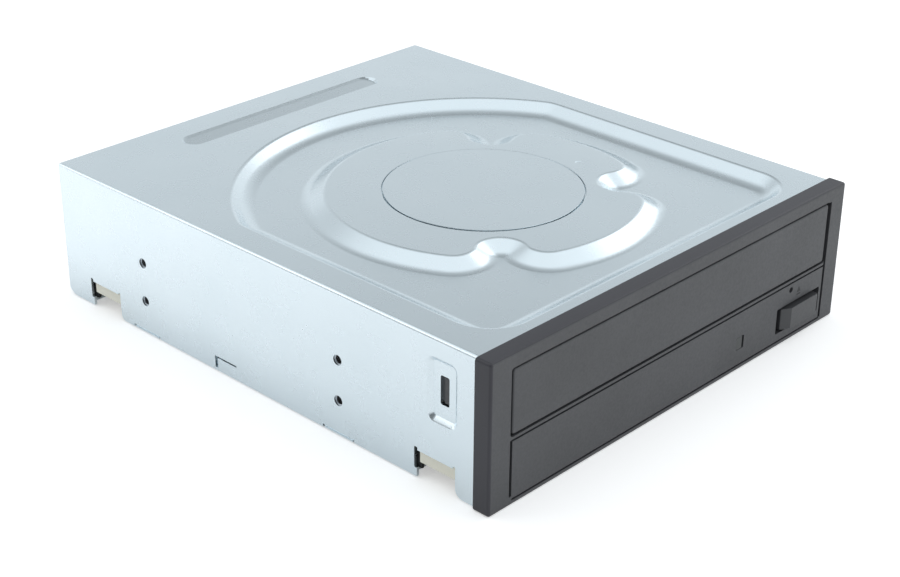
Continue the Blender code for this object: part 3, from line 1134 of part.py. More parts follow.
# Clear the scene, then build every piece under one frame

for leftover in list(bpy.data.objects):
    bpy.data.objects.remove(leftover)
drive = bpy.data.objects.new("drive_frame", None)
bpy.context.collection.objects.link(drive)
front_most = -BEZEL_THICKNESS - BUTTON_PROUD
drive.location = (0, -(front_most + CHASSIS_DEPTH) / 2 * MM, BEZEL_DROP * MM)

top_cover()
clamper_seal()
bottom_cover()
case_screws()
front_bezel()
led_lens()
eject_button()
main_frame()
tray()
tray_door()
loading_drive()
slide_cam()
sub_frame()
dampers()
traverse_chassis()
spindle()
pickup()
guides()
clamper()
boards()
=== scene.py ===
import json
import math

import bmesh
import bpy
from mathutils import Matrix, Vector

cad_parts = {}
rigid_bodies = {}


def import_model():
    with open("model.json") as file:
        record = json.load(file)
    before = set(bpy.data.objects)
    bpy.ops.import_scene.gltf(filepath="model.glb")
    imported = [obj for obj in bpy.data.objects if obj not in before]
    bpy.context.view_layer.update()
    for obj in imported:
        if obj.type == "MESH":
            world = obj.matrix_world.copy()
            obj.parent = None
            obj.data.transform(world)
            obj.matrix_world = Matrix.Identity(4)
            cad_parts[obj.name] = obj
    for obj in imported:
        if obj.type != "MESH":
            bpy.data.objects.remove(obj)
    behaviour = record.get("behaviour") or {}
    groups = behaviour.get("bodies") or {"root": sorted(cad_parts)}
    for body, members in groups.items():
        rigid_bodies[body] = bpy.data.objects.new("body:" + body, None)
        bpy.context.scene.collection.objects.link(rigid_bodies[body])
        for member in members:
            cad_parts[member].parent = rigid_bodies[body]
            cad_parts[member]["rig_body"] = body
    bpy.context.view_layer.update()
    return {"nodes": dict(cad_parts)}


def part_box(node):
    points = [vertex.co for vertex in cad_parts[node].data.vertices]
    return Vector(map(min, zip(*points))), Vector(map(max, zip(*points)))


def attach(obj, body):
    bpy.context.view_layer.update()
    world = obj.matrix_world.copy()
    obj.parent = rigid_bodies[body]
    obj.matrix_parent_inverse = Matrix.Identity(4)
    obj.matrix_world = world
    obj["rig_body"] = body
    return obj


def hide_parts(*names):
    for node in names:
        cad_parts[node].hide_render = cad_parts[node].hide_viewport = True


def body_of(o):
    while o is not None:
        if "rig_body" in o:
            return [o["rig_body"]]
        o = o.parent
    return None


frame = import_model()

# Places are written in the drive's millimetres: x to the right seen from the front,
# y to the rear from the bezel's seat, z up from the underside of the case
MM = 0.001
cover_low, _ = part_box("top_cover")
SEAT = Vector((0, cover_low.y - 0.3 * MM, cover_low.z))


def spot(x, y, z):
    """World place of a point given in the drive's millimetres."""
    return SEAT + Vector((x, y, z)) * MM


# Hand tools

def on_side(side, low, high):
    """Ends of a span across, given for the right side, on the left (-1) or the right (1)."""
    return sorted((low * side, high * side))


def lay_down():
    """Leaves edit mode with nothing selected."""
    if bpy.context.object and bpy.context.object.mode != "OBJECT":
        bpy.ops.object.mode_set(mode="OBJECT")
    bpy.ops.object.select_all(action="DESELECT")


def take(piece):
    lay_down()
    piece.select_set(True)
    bpy.context.view_layer.objects.active = piece


def settle(piece):
    """Puts a piece's place, turn and scale into its mesh."""
    take(piece)
    bpy.ops.object.transform_apply(location=True, rotation=True, scale=True)
    return piece


def block(name, x, y, z):
    lay_down()
    low = spot(x[0], y[0], z[0])
    high = spot(x[1], y[1], z[1])
    bpy.ops.mesh.primitive_cube_add(size=1, location=(low + high) / 2, scale=high - low)
    bpy.context.object.name = name
    return settle(bpy.context.object)


TURNS = {"X": (0, math.pi / 2, 0), "Y": (-math.pi / 2, 0, 0), "Z": (0, 0, 0)}


def drum(name, low, radius, length, along="Z", tip=None, sides=48):
    """Cylinder or cone that starts at a point and runs along an axis."""
    lay_down()
    start = spot(*low)
    step = Vector((0, 0, 0))
    step["XYZ".index(along)] = length * MM
    tip = radius if tip is None else tip
    bpy.ops.mesh.primitive_cone_add(
        vertices=sides, radius1=radius * MM, radius2=tip * MM, depth=abs(length) * MM,
        location=start + step / 2, rotation=TURNS[along])
    bpy.context.object.name = name
    return settle(bpy.context.object)


def pick(piece, kind, test):
    """Opens a piece in edit mode with the faces, edges or corners that pass a test selected."""
    take(piece)
    bpy.ops.object.mode_set(mode="EDIT")
    bpy.ops.mesh.select_mode(type=kind)
    bpy.ops.mesh.select_all(action="DESELECT")
    mesh = bmesh.from_edit_mesh(piece.data)
    items = {"FACE": mesh.faces, "EDGE": mesh.edges, "VERT": mesh.verts}[kind]
    for item in items:
        if test(item):
            item.select_set(True)
    bmesh.update_edit_mesh(piece.data)


def middle(item):
    """Middle of a face or an edge in the drive's millimetres."""
    if hasattr(item, "calc_center_median"):
        return (item.calc_center_median() - SEAT) / MM
    return ((item.verts[0].co + item.verts[1].co) / 2 - SEAT) / MM


def runs_along(edge, axis):
    line = (edge.verts[1].co - edge.verts[0].co).normalized()
    return abs(line["XYZ".index(axis)]) > 0.999


def runs_flat(edge):
    """True where both faces at an edge lie in one plane."""
    return len(edge.link_faces) != 2 or edge.calc_face_angle(0) < math.radians(12)


def carve(piece, tool, operation="DIFFERENCE"):
    """Cuts one piece with another, or joins or crosses them, and clears the tool away."""
    take(piece)
    step = piece.modifiers.new(operation.lower(), "BOOLEAN")
    step.operation = operation
    step.solver = "EXACT"
    step.object = tool
    bpy.ops.object.modifier_apply(modifier=step.name)
    bpy.data.objects.remove(tool)
    return piece


def soften(piece, width, segments, angle):
    """Rounds a piece's edges that are sharper than an angle."""
    take(piece)
    step = piece.modifiers.new("rounding", "BEVEL")
    step.width = width * MM
    step.segments = segments
    step.limit_method = "ANGLE"
    step.angle_limit = math.radians(angle)
    step.miter_outer = "MITER_ARC"
    bpy.ops.object.modifier_apply(modifier=step.name)
    return piece


def round_edges(piece, radius, segments, test):
    """Rounds the edges that pass a test."""
    pick(piece, "EDGE", test)
    bpy.ops.mesh.bevel(offset=radius * MM, segments=segments, profile=0.5, affect="EDGES")
    lay_down()


def polish(piece, angle=30):
    """Smooth shading with flat faces kept flat."""
    take(piece)
    bpy.ops.object.shade_smooth_by_angle(angle=math.radians(angle))
    step = piece.modifiers.new("flat faces", "WEIGHTED_NORMAL")
    step.keep_sharp = True
    step.weight = 100
    bpy.ops.object.modifier_apply(modifier=step.name)
    return piece


def tidy_corners(piece, reach=0.02):
    pick(piece, "VERT", lambda corner: True)
    bpy.ops.mesh.remove_doubles(threshold=reach * MM)
    lay_down()


def softened_copy(node, name, width, finish):
    """Copy of a CAD node with rounded edges, which stands for it."""
    original = frame["nodes"][node]
    piece = bpy.data.objects.new(name, original.data.copy())
    bpy.context.collection.objects.link(piece)
    pick(piece, "VERT", lambda corner: True)
    bpy.ops.mesh.remove_doubles(threshold=0.01 * MM)
    bpy.ops.mesh.dissolve_limited(angle_limit=math.radians(0.5))
    lay_down()
    soften(piece, width, 2, 40)
    polish(piece)
    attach(piece, body_of(original)[0])
    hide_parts(node)
    dress(piece, finish)


# Finishes

def graph(name):
    made = bpy.data.materials.new(name)
    made.use_nodes = True
    tree = made.node_tree
    shader = tree.nodes["Principled BSDF"]
    place = tree.nodes.new("ShaderNodeTexCoord")
    return made, tree, shader, place


def speckle(tree, place, scale, detail=2.0, stretch=(1, 1, 1)):
    """Noise fixed to the piece."""
    mapping = tree.nodes.new("ShaderNodeMapping")
    mapping.inputs["Scale"].default_value = stretch
    tree.links.new(place.outputs["Object"], mapping.inputs["Vector"])
    noise = tree.nodes.new("ShaderNodeTexNoise")
    noise.inputs["Scale"].default_value = scale
    noise.inputs["Detail"].default_value = detail
    tree.links.new(mapping.outputs["Vector"], noise.inputs["Vector"])
    return noise.outputs["Fac"]


def ranged(tree, value, start, end, low, high):
    """Maps a value from one range onto another, whose ends may be values too."""
    step = tree.nodes.new("ShaderNodeMapRange")
    ends = {"From Min": start, "From Max": end, "To Min": low, "To Max": high}
    for socket, setting in ends.items():
        if isinstance(setting, bpy.types.NodeSocket):
            tree.links.new(setting, step.inputs[socket])
        else:
            step.inputs[socket].default_value = setting
    tree.links.new(value, step.inputs["Value"])
    return step.outputs["Result"]


def multiplied(tree, first, second):
    step = tree.nodes.new("ShaderNodeMath")
    step.operation = "MULTIPLY"
    tree.links.new(first, step.inputs[0])
    tree.links.new(second, step.inputs[1])
    return step.outputs[0]


def tints(tree, value, first, second):
    """Colour that drifts between two tints with a noise."""
    ramp = tree.nodes.new("ShaderNodeValToRGB")
    for end, position, tint in zip(ramp.color_ramp.elements, (0.35, 0.65), (first, second)):
        end.position = position
        end.color = (*tint, 1)
    tree.links.new(value, ramp.inputs["Fac"])
    return ramp.outputs["Color"]


def grain(tree, shader, fine, rough, relief):
    """Roughness and tiny bumps from one fine noise."""
    tree.links.new(ranged(tree, fine, 0.3, 0.7, *rough), shader.inputs["Roughness"])
    bump = tree.nodes.new("ShaderNodeBump")
    bump.inputs["Distance"].default_value = relief * MM
    bump.inputs["Strength"].default_value = 1.0
    tree.links.new(fine, bump.inputs["Height"])
    tree.links.new(bump.outputs["Normal"], shader.inputs["Normal"])


def metal_finish(name, first, second, rough, scale, stretch=(1, 1, 1), relief=0.01, fineness=60):
    made, tree, shader, place = graph(name)
    shader.inputs["Metallic"].default_value = 1.0
    patches = speckle(tree, place, scale, 3.0, stretch)
    tree.links.new(tints(tree, patches, first, second), shader.inputs["Base Color"])
    grain(tree, shader, speckle(tree, place, scale * fineness, 2.0, stretch), rough, relief)
    return made


def plastic_finish(name, first, second, rough, scale, relief, level=0.5):
    made, tree, shader, place = graph(name)
    shader.inputs["Specular IOR Level"].default_value = level
    patches = speckle(tree, place, 45.0, 3.0)
    tree.links.new(tints(tree, patches, first, second), shader.inputs["Base Color"])
    grain(tree, shader, speckle(tree, place, scale), rough, relief)
    return made


def clear_finish(name, colour, rough, coat):
    made, tree, shader, place = graph(name)
    fine = speckle(tree, place, 600)
    lighter = [value * 1.1 for value in colour]
    tree.links.new(tints(tree, fine, colour, lighter), shader.inputs["Base Color"])
    tree.links.new(ranged(tree, fine, 0.3, 0.7, rough, rough + 0.06), shader.inputs["Roughness"])
    shader.inputs["Coat Weight"].default_value = coat
    shader.inputs["Coat Roughness"].default_value = 0.08
    return made


zinc_steel = metal_finish(
    "zinc plated steel", (0.745, 0.828, 0.872), (0.765, 0.846, 0.890), (0.262, 0.278), 40,
    relief=0.00001, fineness=5)
bright_steel = metal_finish(
    "bright steel", (0.58, 0.58, 0.60), (0.64, 0.64, 0.66), (0.18, 0.3), 60, (1, 1, 8), 0.002)
cast_zinc = metal_finish(
    "cast zinc", (0.42, 0.42, 0.44), (0.48, 0.48, 0.50), (0.45, 0.6), 90, relief=0.03)
magnet_grey = metal_finish(
    "nickel plated magnet", (0.30, 0.30, 0.31), (0.36, 0.36, 0.37), (0.25, 0.35), 60, relief=0.004)
bezel_black = plastic_finish(
    "textured black plastic", (0.056, 0.057, 0.061), (0.066, 0.067, 0.072), (0.42, 0.55), 1400,
    0.03)
# Smoother than the front's plastic, and darker in colour: painted shade for the bezel's dark left
# side, laid on its sides, top and bottom
rim_black_shaded = plastic_finish(
    "smooth black plastic painted darker", (0.034, 0.033, 0.041), (0.038, 0.037, 0.046), (0.32, 0.36), 1400,
    0.001, 0.45)
button_black = plastic_finish(
    "button black plastic", (0.044, 0.045, 0.048), (0.051, 0.052, 0.056), (0.34, 0.44), 1400, 0.02)
cream_plastic = plastic_finish(
    "cream plastic", (0.93, 0.90, 0.77), (0.96, 0.94, 0.82), (0.42, 0.52), 700, 0.015)
tray_black = plastic_finish(
    "tray plastic", (0.030, 0.030, 0.033), (0.036, 0.036, 0.040), (0.38, 0.5), 900, 0.02)
gear_white = plastic_finish(
    "acetal plastic", (0.82, 0.82, 0.78), (0.86, 0.86, 0.82), (0.3, 0.4), 700, 0.01)
soft_rubber = plastic_finish(
    "soft rubber", (0.018, 0.018, 0.018), (0.028, 0.028, 0.028), (0.7, 0.85), 1200, 0.03, 0.3)
board_green = plastic_finish(
    "board lacquer", (0.012, 0.11, 0.045), (0.018, 0.15, 0.06), (0.25, 0.35), 500, 0.01)
chip_black = plastic_finish(
    "moulded chip", (0.02, 0.02, 0.022), (0.03, 0.03, 0.033), (0.5, 0.6), 1600, 0.02)
# Dark colour for the printed eject mark, and also painted shade on the blocks behind the frame
# skirts and the discs deep in the screw holes
print_and_painted_shade = plastic_finish(
    "printed mark and painted shade", (0.012, 0.012, 0.013), (0.02, 0.02, 0.021), (0.5, 0.6), 900, 0.005)
smoked_lens = clear_finish("smoked lens", (0.046, 0.049, 0.049), 0.45, 0.05)
coated_lens = clear_finish("coated lens", (0.10, 0.16, 0.42), 0.05, 0.6)


def dress(piece, finish):
    piece.data.materials.clear()
    piece.data.materials.append(finish)


# Top cover

# The case and its relief. Depths are measured down from the top
TOP = 41.3
HALF = 73.025
REAR = 164.7
SHEET = 0.8
DISC_Y = 66.3
RELIEF_Y = 65.6
FLOOR_DEPTH = 3.1
PLATEAU_DEPTH = 0.3
SEAL_RADIUS = 28.6
# Directions of the plateau's notches, in degrees
NOTCHES = (-130.5, -38.5, 39.5)
# Side screw holes, and the front ends of the two cut-outs at the bottom of a side
SCREW_ROWS = (48.05, 127.3)
SCREW_HEIGHTS = (10.0, 21.84)
CUTOUTS = (6.8, 139.1)
CUTOUT_LENGTH = 13.0


def outline(name, start, z, moves):
    """Face drawn as with a pen: straight moves (x, y) and arcs (centre x, y, turn, steps)."""
    lay_down()
    bpy.ops.mesh.primitive_plane_add(size=MM, location=spot(*start, z))
    piece = settle(bpy.context.object)
    piece.name = name
    bpy.ops.object.mode_set(mode="EDIT")
    bpy.ops.mesh.select_mode(type="VERT")
    bpy.ops.mesh.select_all(action="SELECT")
    bpy.ops.mesh.merge(type="CENTER")
    for move in moves:
        x, y = move[:2]
        if len(move) == 2:
            bpy.ops.mesh.extrude_region_move(TRANSFORM_OT_translate={"value": (x * MM, y * MM, 0)})
        else:
            turn, steps = move[2:]
            bpy.ops.mesh.spin(
                steps=steps, angle=-math.radians(turn), center=spot(x, y, z), axis=(0, 0, 1))
    bpy.ops.mesh.select_all(action="SELECT")
    bpy.ops.mesh.remove_doubles(threshold=0.02 * MM)
    bpy.ops.mesh.edge_face_add()
    return piece


def thicken(piece, height):
    """Raises a drawn face into a body, with its faces outward."""
    bpy.ops.mesh.extrude_region_move(TRANSFORM_OT_translate={"value": (0, 0, height * MM)})
    bpy.ops.mesh.select_all(action="SELECT")
    bpy.ops.mesh.normals_make_consistent(inside=False)
    lay_down()


def slope(piece, face_up, inward, reach):
    """Draws the top or the bottom face out into a sloped side."""
    pick(piece, "FACE", lambda f: f.normal.z * face_up > 0.9)
    bpy.ops.mesh.inset(thickness=inward * MM, depth=reach * MM)
    lay_down()


def recess_tool():
    """D-shaped press tool with sloped sides."""
    front, half_width, corner, rear_radius, fillet, run = 4.0, 63.5, 12.0, 70.0, 9.0, 4.9
    corner_x, corner_y, fillet_x = half_width - corner, front + corner, half_width - fillet
    along = math.sqrt((rear_radius - fillet) ** 2 - fillet_x ** 2)
    shoulder = math.degrees(math.atan2(along, fillet_x))
    straight = RELIEF_Y + along - corner_y
    tool = outline("recess_tool", (corner_x, front), TOP + 3, [
        (corner_x, corner_y, 90, 14), (0, straight),
        (fillet_x, corner_y + straight, shoulder, 4),
        (0, RELIEF_Y, 180 - 2 * shoulder, 60),
        (-fillet_x, corner_y + straight, shoulder, 4),
        (0, -straight), (-corner_x, corner_y, 90, 14), (2 * corner_x, 0)])
    thicken(tool, -3)
    slope(tool, -1, run, FLOOR_DEPTH)
    # The slopes at the front and the left are steeper
    narrower = 1.2
    width, length = 2 * (half_width - run), RELIEF_Y + rear_radius - front - 2 * run
    pick(tool, "FACE", lambda f: f.normal.z < -0.9)
    bpy.ops.transform.resize(
        value=(1 + narrower / width, 1 + narrower / length, 1),
        center_override=spot(width / 2, RELIEF_Y + rear_radius - run, 0))
    lay_down()
    return tool


def plateau():
    """Round plateau with three round-ended notches and sloped sides."""
    foot, lobe, lobe_across, notch_reach, run, root = 49.8, 11.0, 12.5, 39.5, 5.2, 1.5
    lobe_along = math.sqrt((foot - lobe) ** 2 - lobe_across ** 2)
    swing = math.degrees(math.atan2(lobe_across, lobe_along))
    flare = 180 - math.degrees(math.atan2(lobe_across, lobe_along - notch_reach))
    centre = Vector((0, RELIEF_Y))
    moves = []
    for number, angle in enumerate(NOTCHES):
        turn = Matrix.Rotation(math.radians(angle), 2)
        span = (NOTCHES[(number + 1) % 3] - angle) % 360 - 2 * swing
        moves += [
            (*(centre + turn @ Vector((lobe_along, -lobe_across))), swing + flare, 24),
            (*(centre + turn @ Vector((notch_reach, 0))), -2 * flare, 24),
            (*(centre + turn @ Vector((lobe_along, lobe_across))), swing + flare, 24),
            (*centre, span, max(4, round(span / 3)))]
    start = centre + Matrix.Rotation(math.radians(NOTCHES[0] - swing), 2) @ Vector((foot, 0))
    piece = outline("plateau", start, TOP - FLOOR_DEPTH - root, moves)
    thicken(piece, root)
    slope(piece, 1, run, FLOOR_DEPTH - PLATEAU_DEPTH)
    return piece


def rounded_block(name, x, y, z, radius, along, segments=5):
    piece = block(name, x, y, z)
    round_edges(piece, radius, segments, lambda e: runs_along(e, along))
    return piece


def groove_tool():
    """Long groove near the rear, with a floor that falls to the front."""
    left, right, y, radius, run, depth = -34, 36, 150.3, 3.9, 0.9, 1.0
    tool = outline("groove_tool", (left, y - radius), TOP + 2, [
        (right - left, 0), (right, y, 180, 20), (left - right, 0), (left, y, 180, 20)])
    thicken(tool, -2)
    slope(tool, -1, run, depth)
    pick(tool, "FACE", lambda f: f.normal.z < -0.9)
    bpy.ops.transform.rotate(
        value=math.radians(-5.3), orient_axis="X",
        center_override=spot(0, y - radius + run, TOP - depth))
    lay_down()
    return tool


def gather(tools):
    """Joins tools that don't touch each other into one."""
    lay_down()
    for tool in tools:
        tool.select_set(True)
    bpy.context.view_layer.objects.active = tools[0]
    bpy.ops.object.join()
    return tools[0]


def side_tools(side):
    """Pads and tabs to add, presses and cut-outs, and holes, for one side wall."""
    out = HALF * side
    across = lambda low, high: on_side(side, low, high)
    through = across(70, 75)

    # Latch panel: a two-step press with a slot, on a pad inside
    added = [rounded_block("panel_pad", across(71.1, 72.7), (5.9, 16.8), (17.8, 36.6), 2.2, "X")]
    panel = rounded_block("panel", across(HALF - 0.01, 76), (6.3, 16.4), (18.2, 36.2), 2.3, "X")
    pick(panel, "FACE", lambda f: f.normal.x * side < -0.9)
    for inward, depth in ((0.4, 0.12), (1.0, 0.87)):
        bpy.ops.mesh.inset(thickness=inward * MM, depth=depth * MM)
    lay_down()
    pressed = [panel]
    holes = [rounded_block("latch_slot", across(70, 74), (9.8, 12.7), (23.3, 31.3), 0.5, "X", 3)]

    # Inward tabs with their creases, and the side screw holes above them
    for y in SCREW_ROWS:
        tab = rounded_block("tab", across(61.5, 72.7), (y - 5.15, y + 5.15), (0.04, 0.84), 1.2, "Z")
        added.append(tab)
        holes.append(drum("tab_hole", (69.0 * side, y, -1), 1.45, 3, sides=24))
        crease = block("tab_crease", across(72.75, 75), (y - 5.7, y + 5.7), (0.5, 0.85))
        for end in (y - 5.6, y + 5.6):
            relief = block("tab_relief", across(71, 75), (end - 0.25, end + 0.25), (-1, 0.95))
            carve(crease, relief, "UNION")
        pressed.append(crease)
        for z in SCREW_HEIGHTS:
            dimple_end = (out + 0.01 * side, y, z)
            pressed.append(drum("dimple", dimple_end, 2.1, -0.2 * side, "X", 1.7, 32))
            holes.append(drum("hole", (out + side, y, z), 1.5, -4 * side, "X", None, 32))

    # Cut-outs at the bottom edge, each with a rounded foot in front and a slit behind
    for low, radius in zip(CUTOUTS, (2.4, 1.8)):
        high = low + CUTOUT_LENGTH
        notch = rounded_block("notch", through, (low, high), (-4, 7.7), 0.5, "X")
        foot = block("notch_foot", across(70.3, 74.7), (low - radius, low + 0.3), (-1, radius))
        foot_centre = (69 * side, low - radius, radius)
        carve(foot, drum("foot_round", foot_centre, radius, 7 * side, "X", None, 32))
        carve(notch, foot, "UNION")
        pressed.append(notch)
        relief_end = (75 * side, low + 0.4, 7.85)
        holes.append(drum("notch_relief", relief_end, 0.5, -5 * side, "X", None, 16))
        slit_ends = (high - 0.2, high + 0.9)
        holes.append(rounded_block("notch_slit", through, slit_ends, (2.5, 8.6), 0.4, "X", 3))

    # L-shaped slit, and the rounded lower corner at the rear
    slit = block("slit", through, (88.2, 96.5), (3.95, 4.4))
    carve(slit, block("slit_end", through, (96.0, 97.1), (0.9, 4.4)), "UNION")
    corner = block("corner", through, (160.7, 166), (-1, 4))
    carve(corner, drum("corner_round", (69 * side, 160.7, 4), 4.0, 7 * side, "X", None, 48))
    pressed += [slit, corner]
    return added, pressed, holes


def top_cover():
    """Pressed steel cover, made as a full body whose skin is then given the sheet's thickness."""
    cover = block("cover_sheet", (-HALF, HALF), (0.3, REAR), (0, TOP))
    folds = lambda e: (middle(e).z > TOP - 0.1 and middle(e).y > 1
                       or runs_along(e, "Z") and middle(e).y > 100)
    round_edges(cover, 1.0, 4, folds)
    carve(cover, recess_tool())
    carve(cover, plateau(), "UNION")
    carve(cover, groove_tool())
    tidy_corners(cover)

    # The feet, rims and shoulders of the slopes are rounded before the finer cuts
    inside = lambda e: abs(middle(e).x) < HALF - 2 and 2 < middle(e).y < 140 and not runs_flat(e)
    at_depth = lambda e, depth: abs(middle(e).z - TOP + depth) < 0.02 and inside(e)
    off_centre = lambda e: (middle(e).xy - Vector((0, RELIEF_Y))).length
    round_edges(cover, 2.3, 6, lambda e: at_depth(e, FLOOR_DEPTH) and off_centre(e) > 51)
    round_edges(cover, 1.6, 5, lambda e: at_depth(e, FLOOR_DEPTH) and off_centre(e) <= 51)
    round_edges(cover, 0.6, 4, lambda e: at_depth(e, 0))
    round_edges(cover, 0.6, 3, lambda e: at_depth(e, PLATEAU_DEPTH))
    tidy_corners(cover, 0.04)

    # Pocket of the seal with a press dot beside it, and the clamper's well
    dot = drum("press_dot", (33, 58.6, TOP - 0.42), 0.9, 3, tip=4.0, sides=24)
    pocket = drum("seal_pocket", (0, RELIEF_Y, TOP - 1.1), SEAL_RADIUS, 4, sides=128)
    carve(cover, gather([pocket, dot]))
    pocket_rim = lambda e: (abs(off_centre(e) - SEAL_RADIUS) < 0.1
                            and abs(middle(e).z - TOP + PLATEAU_DEPTH) < 0.02)
    round_edges(cover, 0.18, 2, pocket_rim)
    carve(cover, drum("well", (0, DISC_Y, TOP - 4.0), 19.2, 2.95, "Z", 22.0, 96))

    # Open at the bottom and at the front, then folded from one sheet
    pick(cover, "FACE", lambda f: (f.normal.z < -0.9 and middle(f).z < 1
                                   or f.normal.y < -0.9 and middle(f).y < 1))
    bpy.ops.mesh.delete(type="FACE")
    take(cover)
    wall = cover.modifiers.new("sheet", "SOLIDIFY")
    wall.thickness = SHEET * MM
    wall.offset = -1
    wall.use_quality_normals = True
    bpy.ops.object.modifier_apply(modifier=wall.name)

    left, right = side_tools(-1), side_tools(1)
    carve(cover, gather(left[0] + right[0]), "UNION")
    window = block("connector_window", (-53, -13), (162, 166), (4.4, 13.4))
    carve(cover, gather(left[1] + right[1] + [window]))
    mouth = drum("clamper_hole", (0, DISC_Y, TOP - 7), 14.5, 9, sides=96)
    carve(cover, gather(left[2] + right[2] + [mouth]))
    polish(cover, 28)
    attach(cover, "chassis")
    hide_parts("top_cover")
    dress(cover, zinc_steel)


top_cover()

seal = drum("seal_disc", (0, RELIEF_Y, TOP - 0.9), SEAL_RADIUS - 0.35, 0.75, sides=128)
round_edges(seal, 0.12, 2, lambda e: middle(e).z > TOP - 0.2)
polish(seal)
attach(seal, "chassis")
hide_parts("clamper_seal")
dress(seal, zinc_steel)


# Front

# Front of the bezel and the door
FACE = -5.1


def front_bezel():
    """Bezel with its openings, grooves and two side latches."""
    bezel = block("bezel", (-74, 74), (FACE, 0), (-0.4, 41.6))
    round_edges(bezel, 0.9, 5, lambda e: runs_along(e, "Y"))
    round_edges(bezel, 0.75, 5, lambda e: abs(middle(e).y - FACE) < 0.1)
    carve(bezel, rounded_block("door_opening", (-66.7, 66.7), (-7, 1), (18.95, 37.75), 0.9, "Y", 4))
    carve(bezel, rounded_block("button_hole", (44.7, 65.5), (-7, 1), (3.9, 11.7), 0.4, "Y", 3))
    carve(bezel, rounded_block("lens_hole", (25.7, 29.1), (-7, 1), (6.2, 10.1), 0.3, "Y", 3))
    carve(bezel, drum("eject_hole", (50.8, -7, 15.8), 0.85, 9, "Y", None, 24))
    carve(bezel, block("left_groove", (-66.75, -65.9), (-7, FACE + 1.3), (2.2, 18.1)))
    carve(bezel, block("seam", (-66.4, 66.7), (-7, FACE + 1.4), (17.65, 18.2)))
    carve(bezel, block("low_groove", (-65.8, 66.9), (-7, FACE + 0.7), (0.95, 1.5)))
    carve(bezel, block("right_groove", (66.5, 67.5), (-7, FACE + 1.6), (1.3, 37.5)))
    carve(bezel, block("hollow", (-71.6, 71.6), (FACE + 2.2, 1), (1.7, 17.8)))
    for side in (-1, 1):
        arm = block("latch", on_side(side, 69.925, 71.225), (-1, 12.8), (23.8, 31.1))
        hook = block("hook", on_side(side, 70.7, 71.9), (9.0, 11.3), (24.0, 30.9))
        carve(arm, hook, "UNION")
        carve(bezel, arm, "UNION")
    soften(bezel, 0.1, 2, 50)
    polish(bezel, 35)
    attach(bezel, "chassis")
    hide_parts("front_bezel")
    dress(bezel, bezel_black)
    # The outer rim is smoother than the front, and its colour is painted darker as shade for the
    # bezel's dark left side
    bezel.data.materials.append(rim_black_shaded)
    pick(bezel, "FACE", lambda f: abs(middle(f).x) > 73.2 or not -0.3 <= middle(f).z <= 41.2)
    bezel.active_material_index = 1
    bpy.ops.object.material_slot_assign()
    lay_down()


front_bezel()


def push_button():
    """Eject button: flat face, slanted left flank, and a wider rim behind it."""
    button = outline("button", (46.9, -1.5), 4.6, [
        (0, -3.4), (0.3, -0.3), (2.6, -1.4), (12.6, 0), (62.4, -6.0, 90, 4), (0, 4.5),
        (-16.1, 0)])
    thicken(button, 6.4)
    soften(button, 0.2, 3, 20)
    carve(button, block("rim", (44.0, 66.4), (-2.4, -1.2), (3.0, 12.8)), "UNION")
    polish(button, 35)
    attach(button, "eject_button")
    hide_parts("eject_button")
    dress(button, button_black)


push_button()


def eject_symbol():
    """Plain open-the-tray mark: a small triangle over a bar."""
    raised = 0.04
    lay_down()
    bpy.ops.mesh.primitive_circle_add(
        vertices=3, radius=1.0 * MM, fill_type="NGON", location=spot(54.8, FACE, 14.5),
        rotation=(math.pi / 2, 0, 0))
    mark = settle(bpy.context.object)
    mark.name = "eject_symbol"
    bar = block("bar", (53.9, 55.7), (FACE - raised, FACE), (13.1, 13.5))
    pick(mark, "FACE", lambda f: True)
    bpy.ops.mesh.extrude_region_move(TRANSFORM_OT_translate={"value": (0, -raised * MM, 0)})
    bpy.ops.mesh.select_all(action="SELECT")
    bpy.ops.mesh.normals_make_consistent(inside=False)
    gather([mark, bar])
    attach(mark, "chassis")
    dress(mark, print_and_painted_shade)


eject_symbol()


def frame_skirt(side, low):
    """Edge of the cream frame that shows in a cut-out of the cover, and behind it a dark block that
    stands for the shade there: painted shade.
    """
    name = f"frame_skirt_{'left' if side < 0 else 'right'}_{round(low)}"
    end = low + 12.4
    across = on_side(side, 71.0, 72.45)
    skirt = rounded_block(name, across, (low - 1.2, end), (4.1, 8.9), 0.3, "Y", 3)
    polish(skirt)
    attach(skirt, "chassis")
    dress(skirt, cream_plastic)
    # A dark block behind the skirt, where there is only shade: painted shade
    gap_shade = block("skirt_gap", on_side(side, 71.0, 71.8), (end, end + 2.0), (2.0, 9.2))
    polish(gap_shade)
    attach(gap_shade, "chassis")
    dress(gap_shade, print_and_painted_shade)


for side in (-1, 1):
    for low in CUTOUTS:
        frame_skirt(side, low)


def hole_sleeves():
    """Steel sleeves behind the side screw holes, each with a dark disc deep inside that stands for
    the shade there: painted shade.
    """
    sleeves, ends = [], []
    for side in (-1, 1):
        for y in SCREW_ROWS:
            for z in SCREW_HEIGHTS:
                sleeve = drum("sleeve", (71.1 * side, y, z), 1.95, 1.1 * side, "X", None, 32)
                pick(sleeve, "FACE", lambda f: f.normal.x * side > 0.9)
                bpy.ops.mesh.inset(thickness=0.7 * MM, depth=0)
                bpy.ops.mesh.extrude_region_move(
                    TRANSFORM_OT_translate={"value": (-1.0 * side * MM, 0, 0)})
                lay_down()
                sleeves.append(sleeve)
                # Dark disc at the back of each sleeve, where there is only shade: painted shade
                ends.append(drum("end", (71.2 * side, y, z), 1.24, 0.08 * side, "X", None, 32))
    for name, pieces, finish, slot_name in (
            ("screw_sleeves", sleeves, bright_steel, "steel"),
            ("sleeve_shade_discs", ends, print_and_painted_shade, "black_plastic")):
        piece = gather(pieces)
        piece.name = name
        polish(piece)
        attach(piece, "chassis")
        dress(piece, finish)


hole_sleeves()


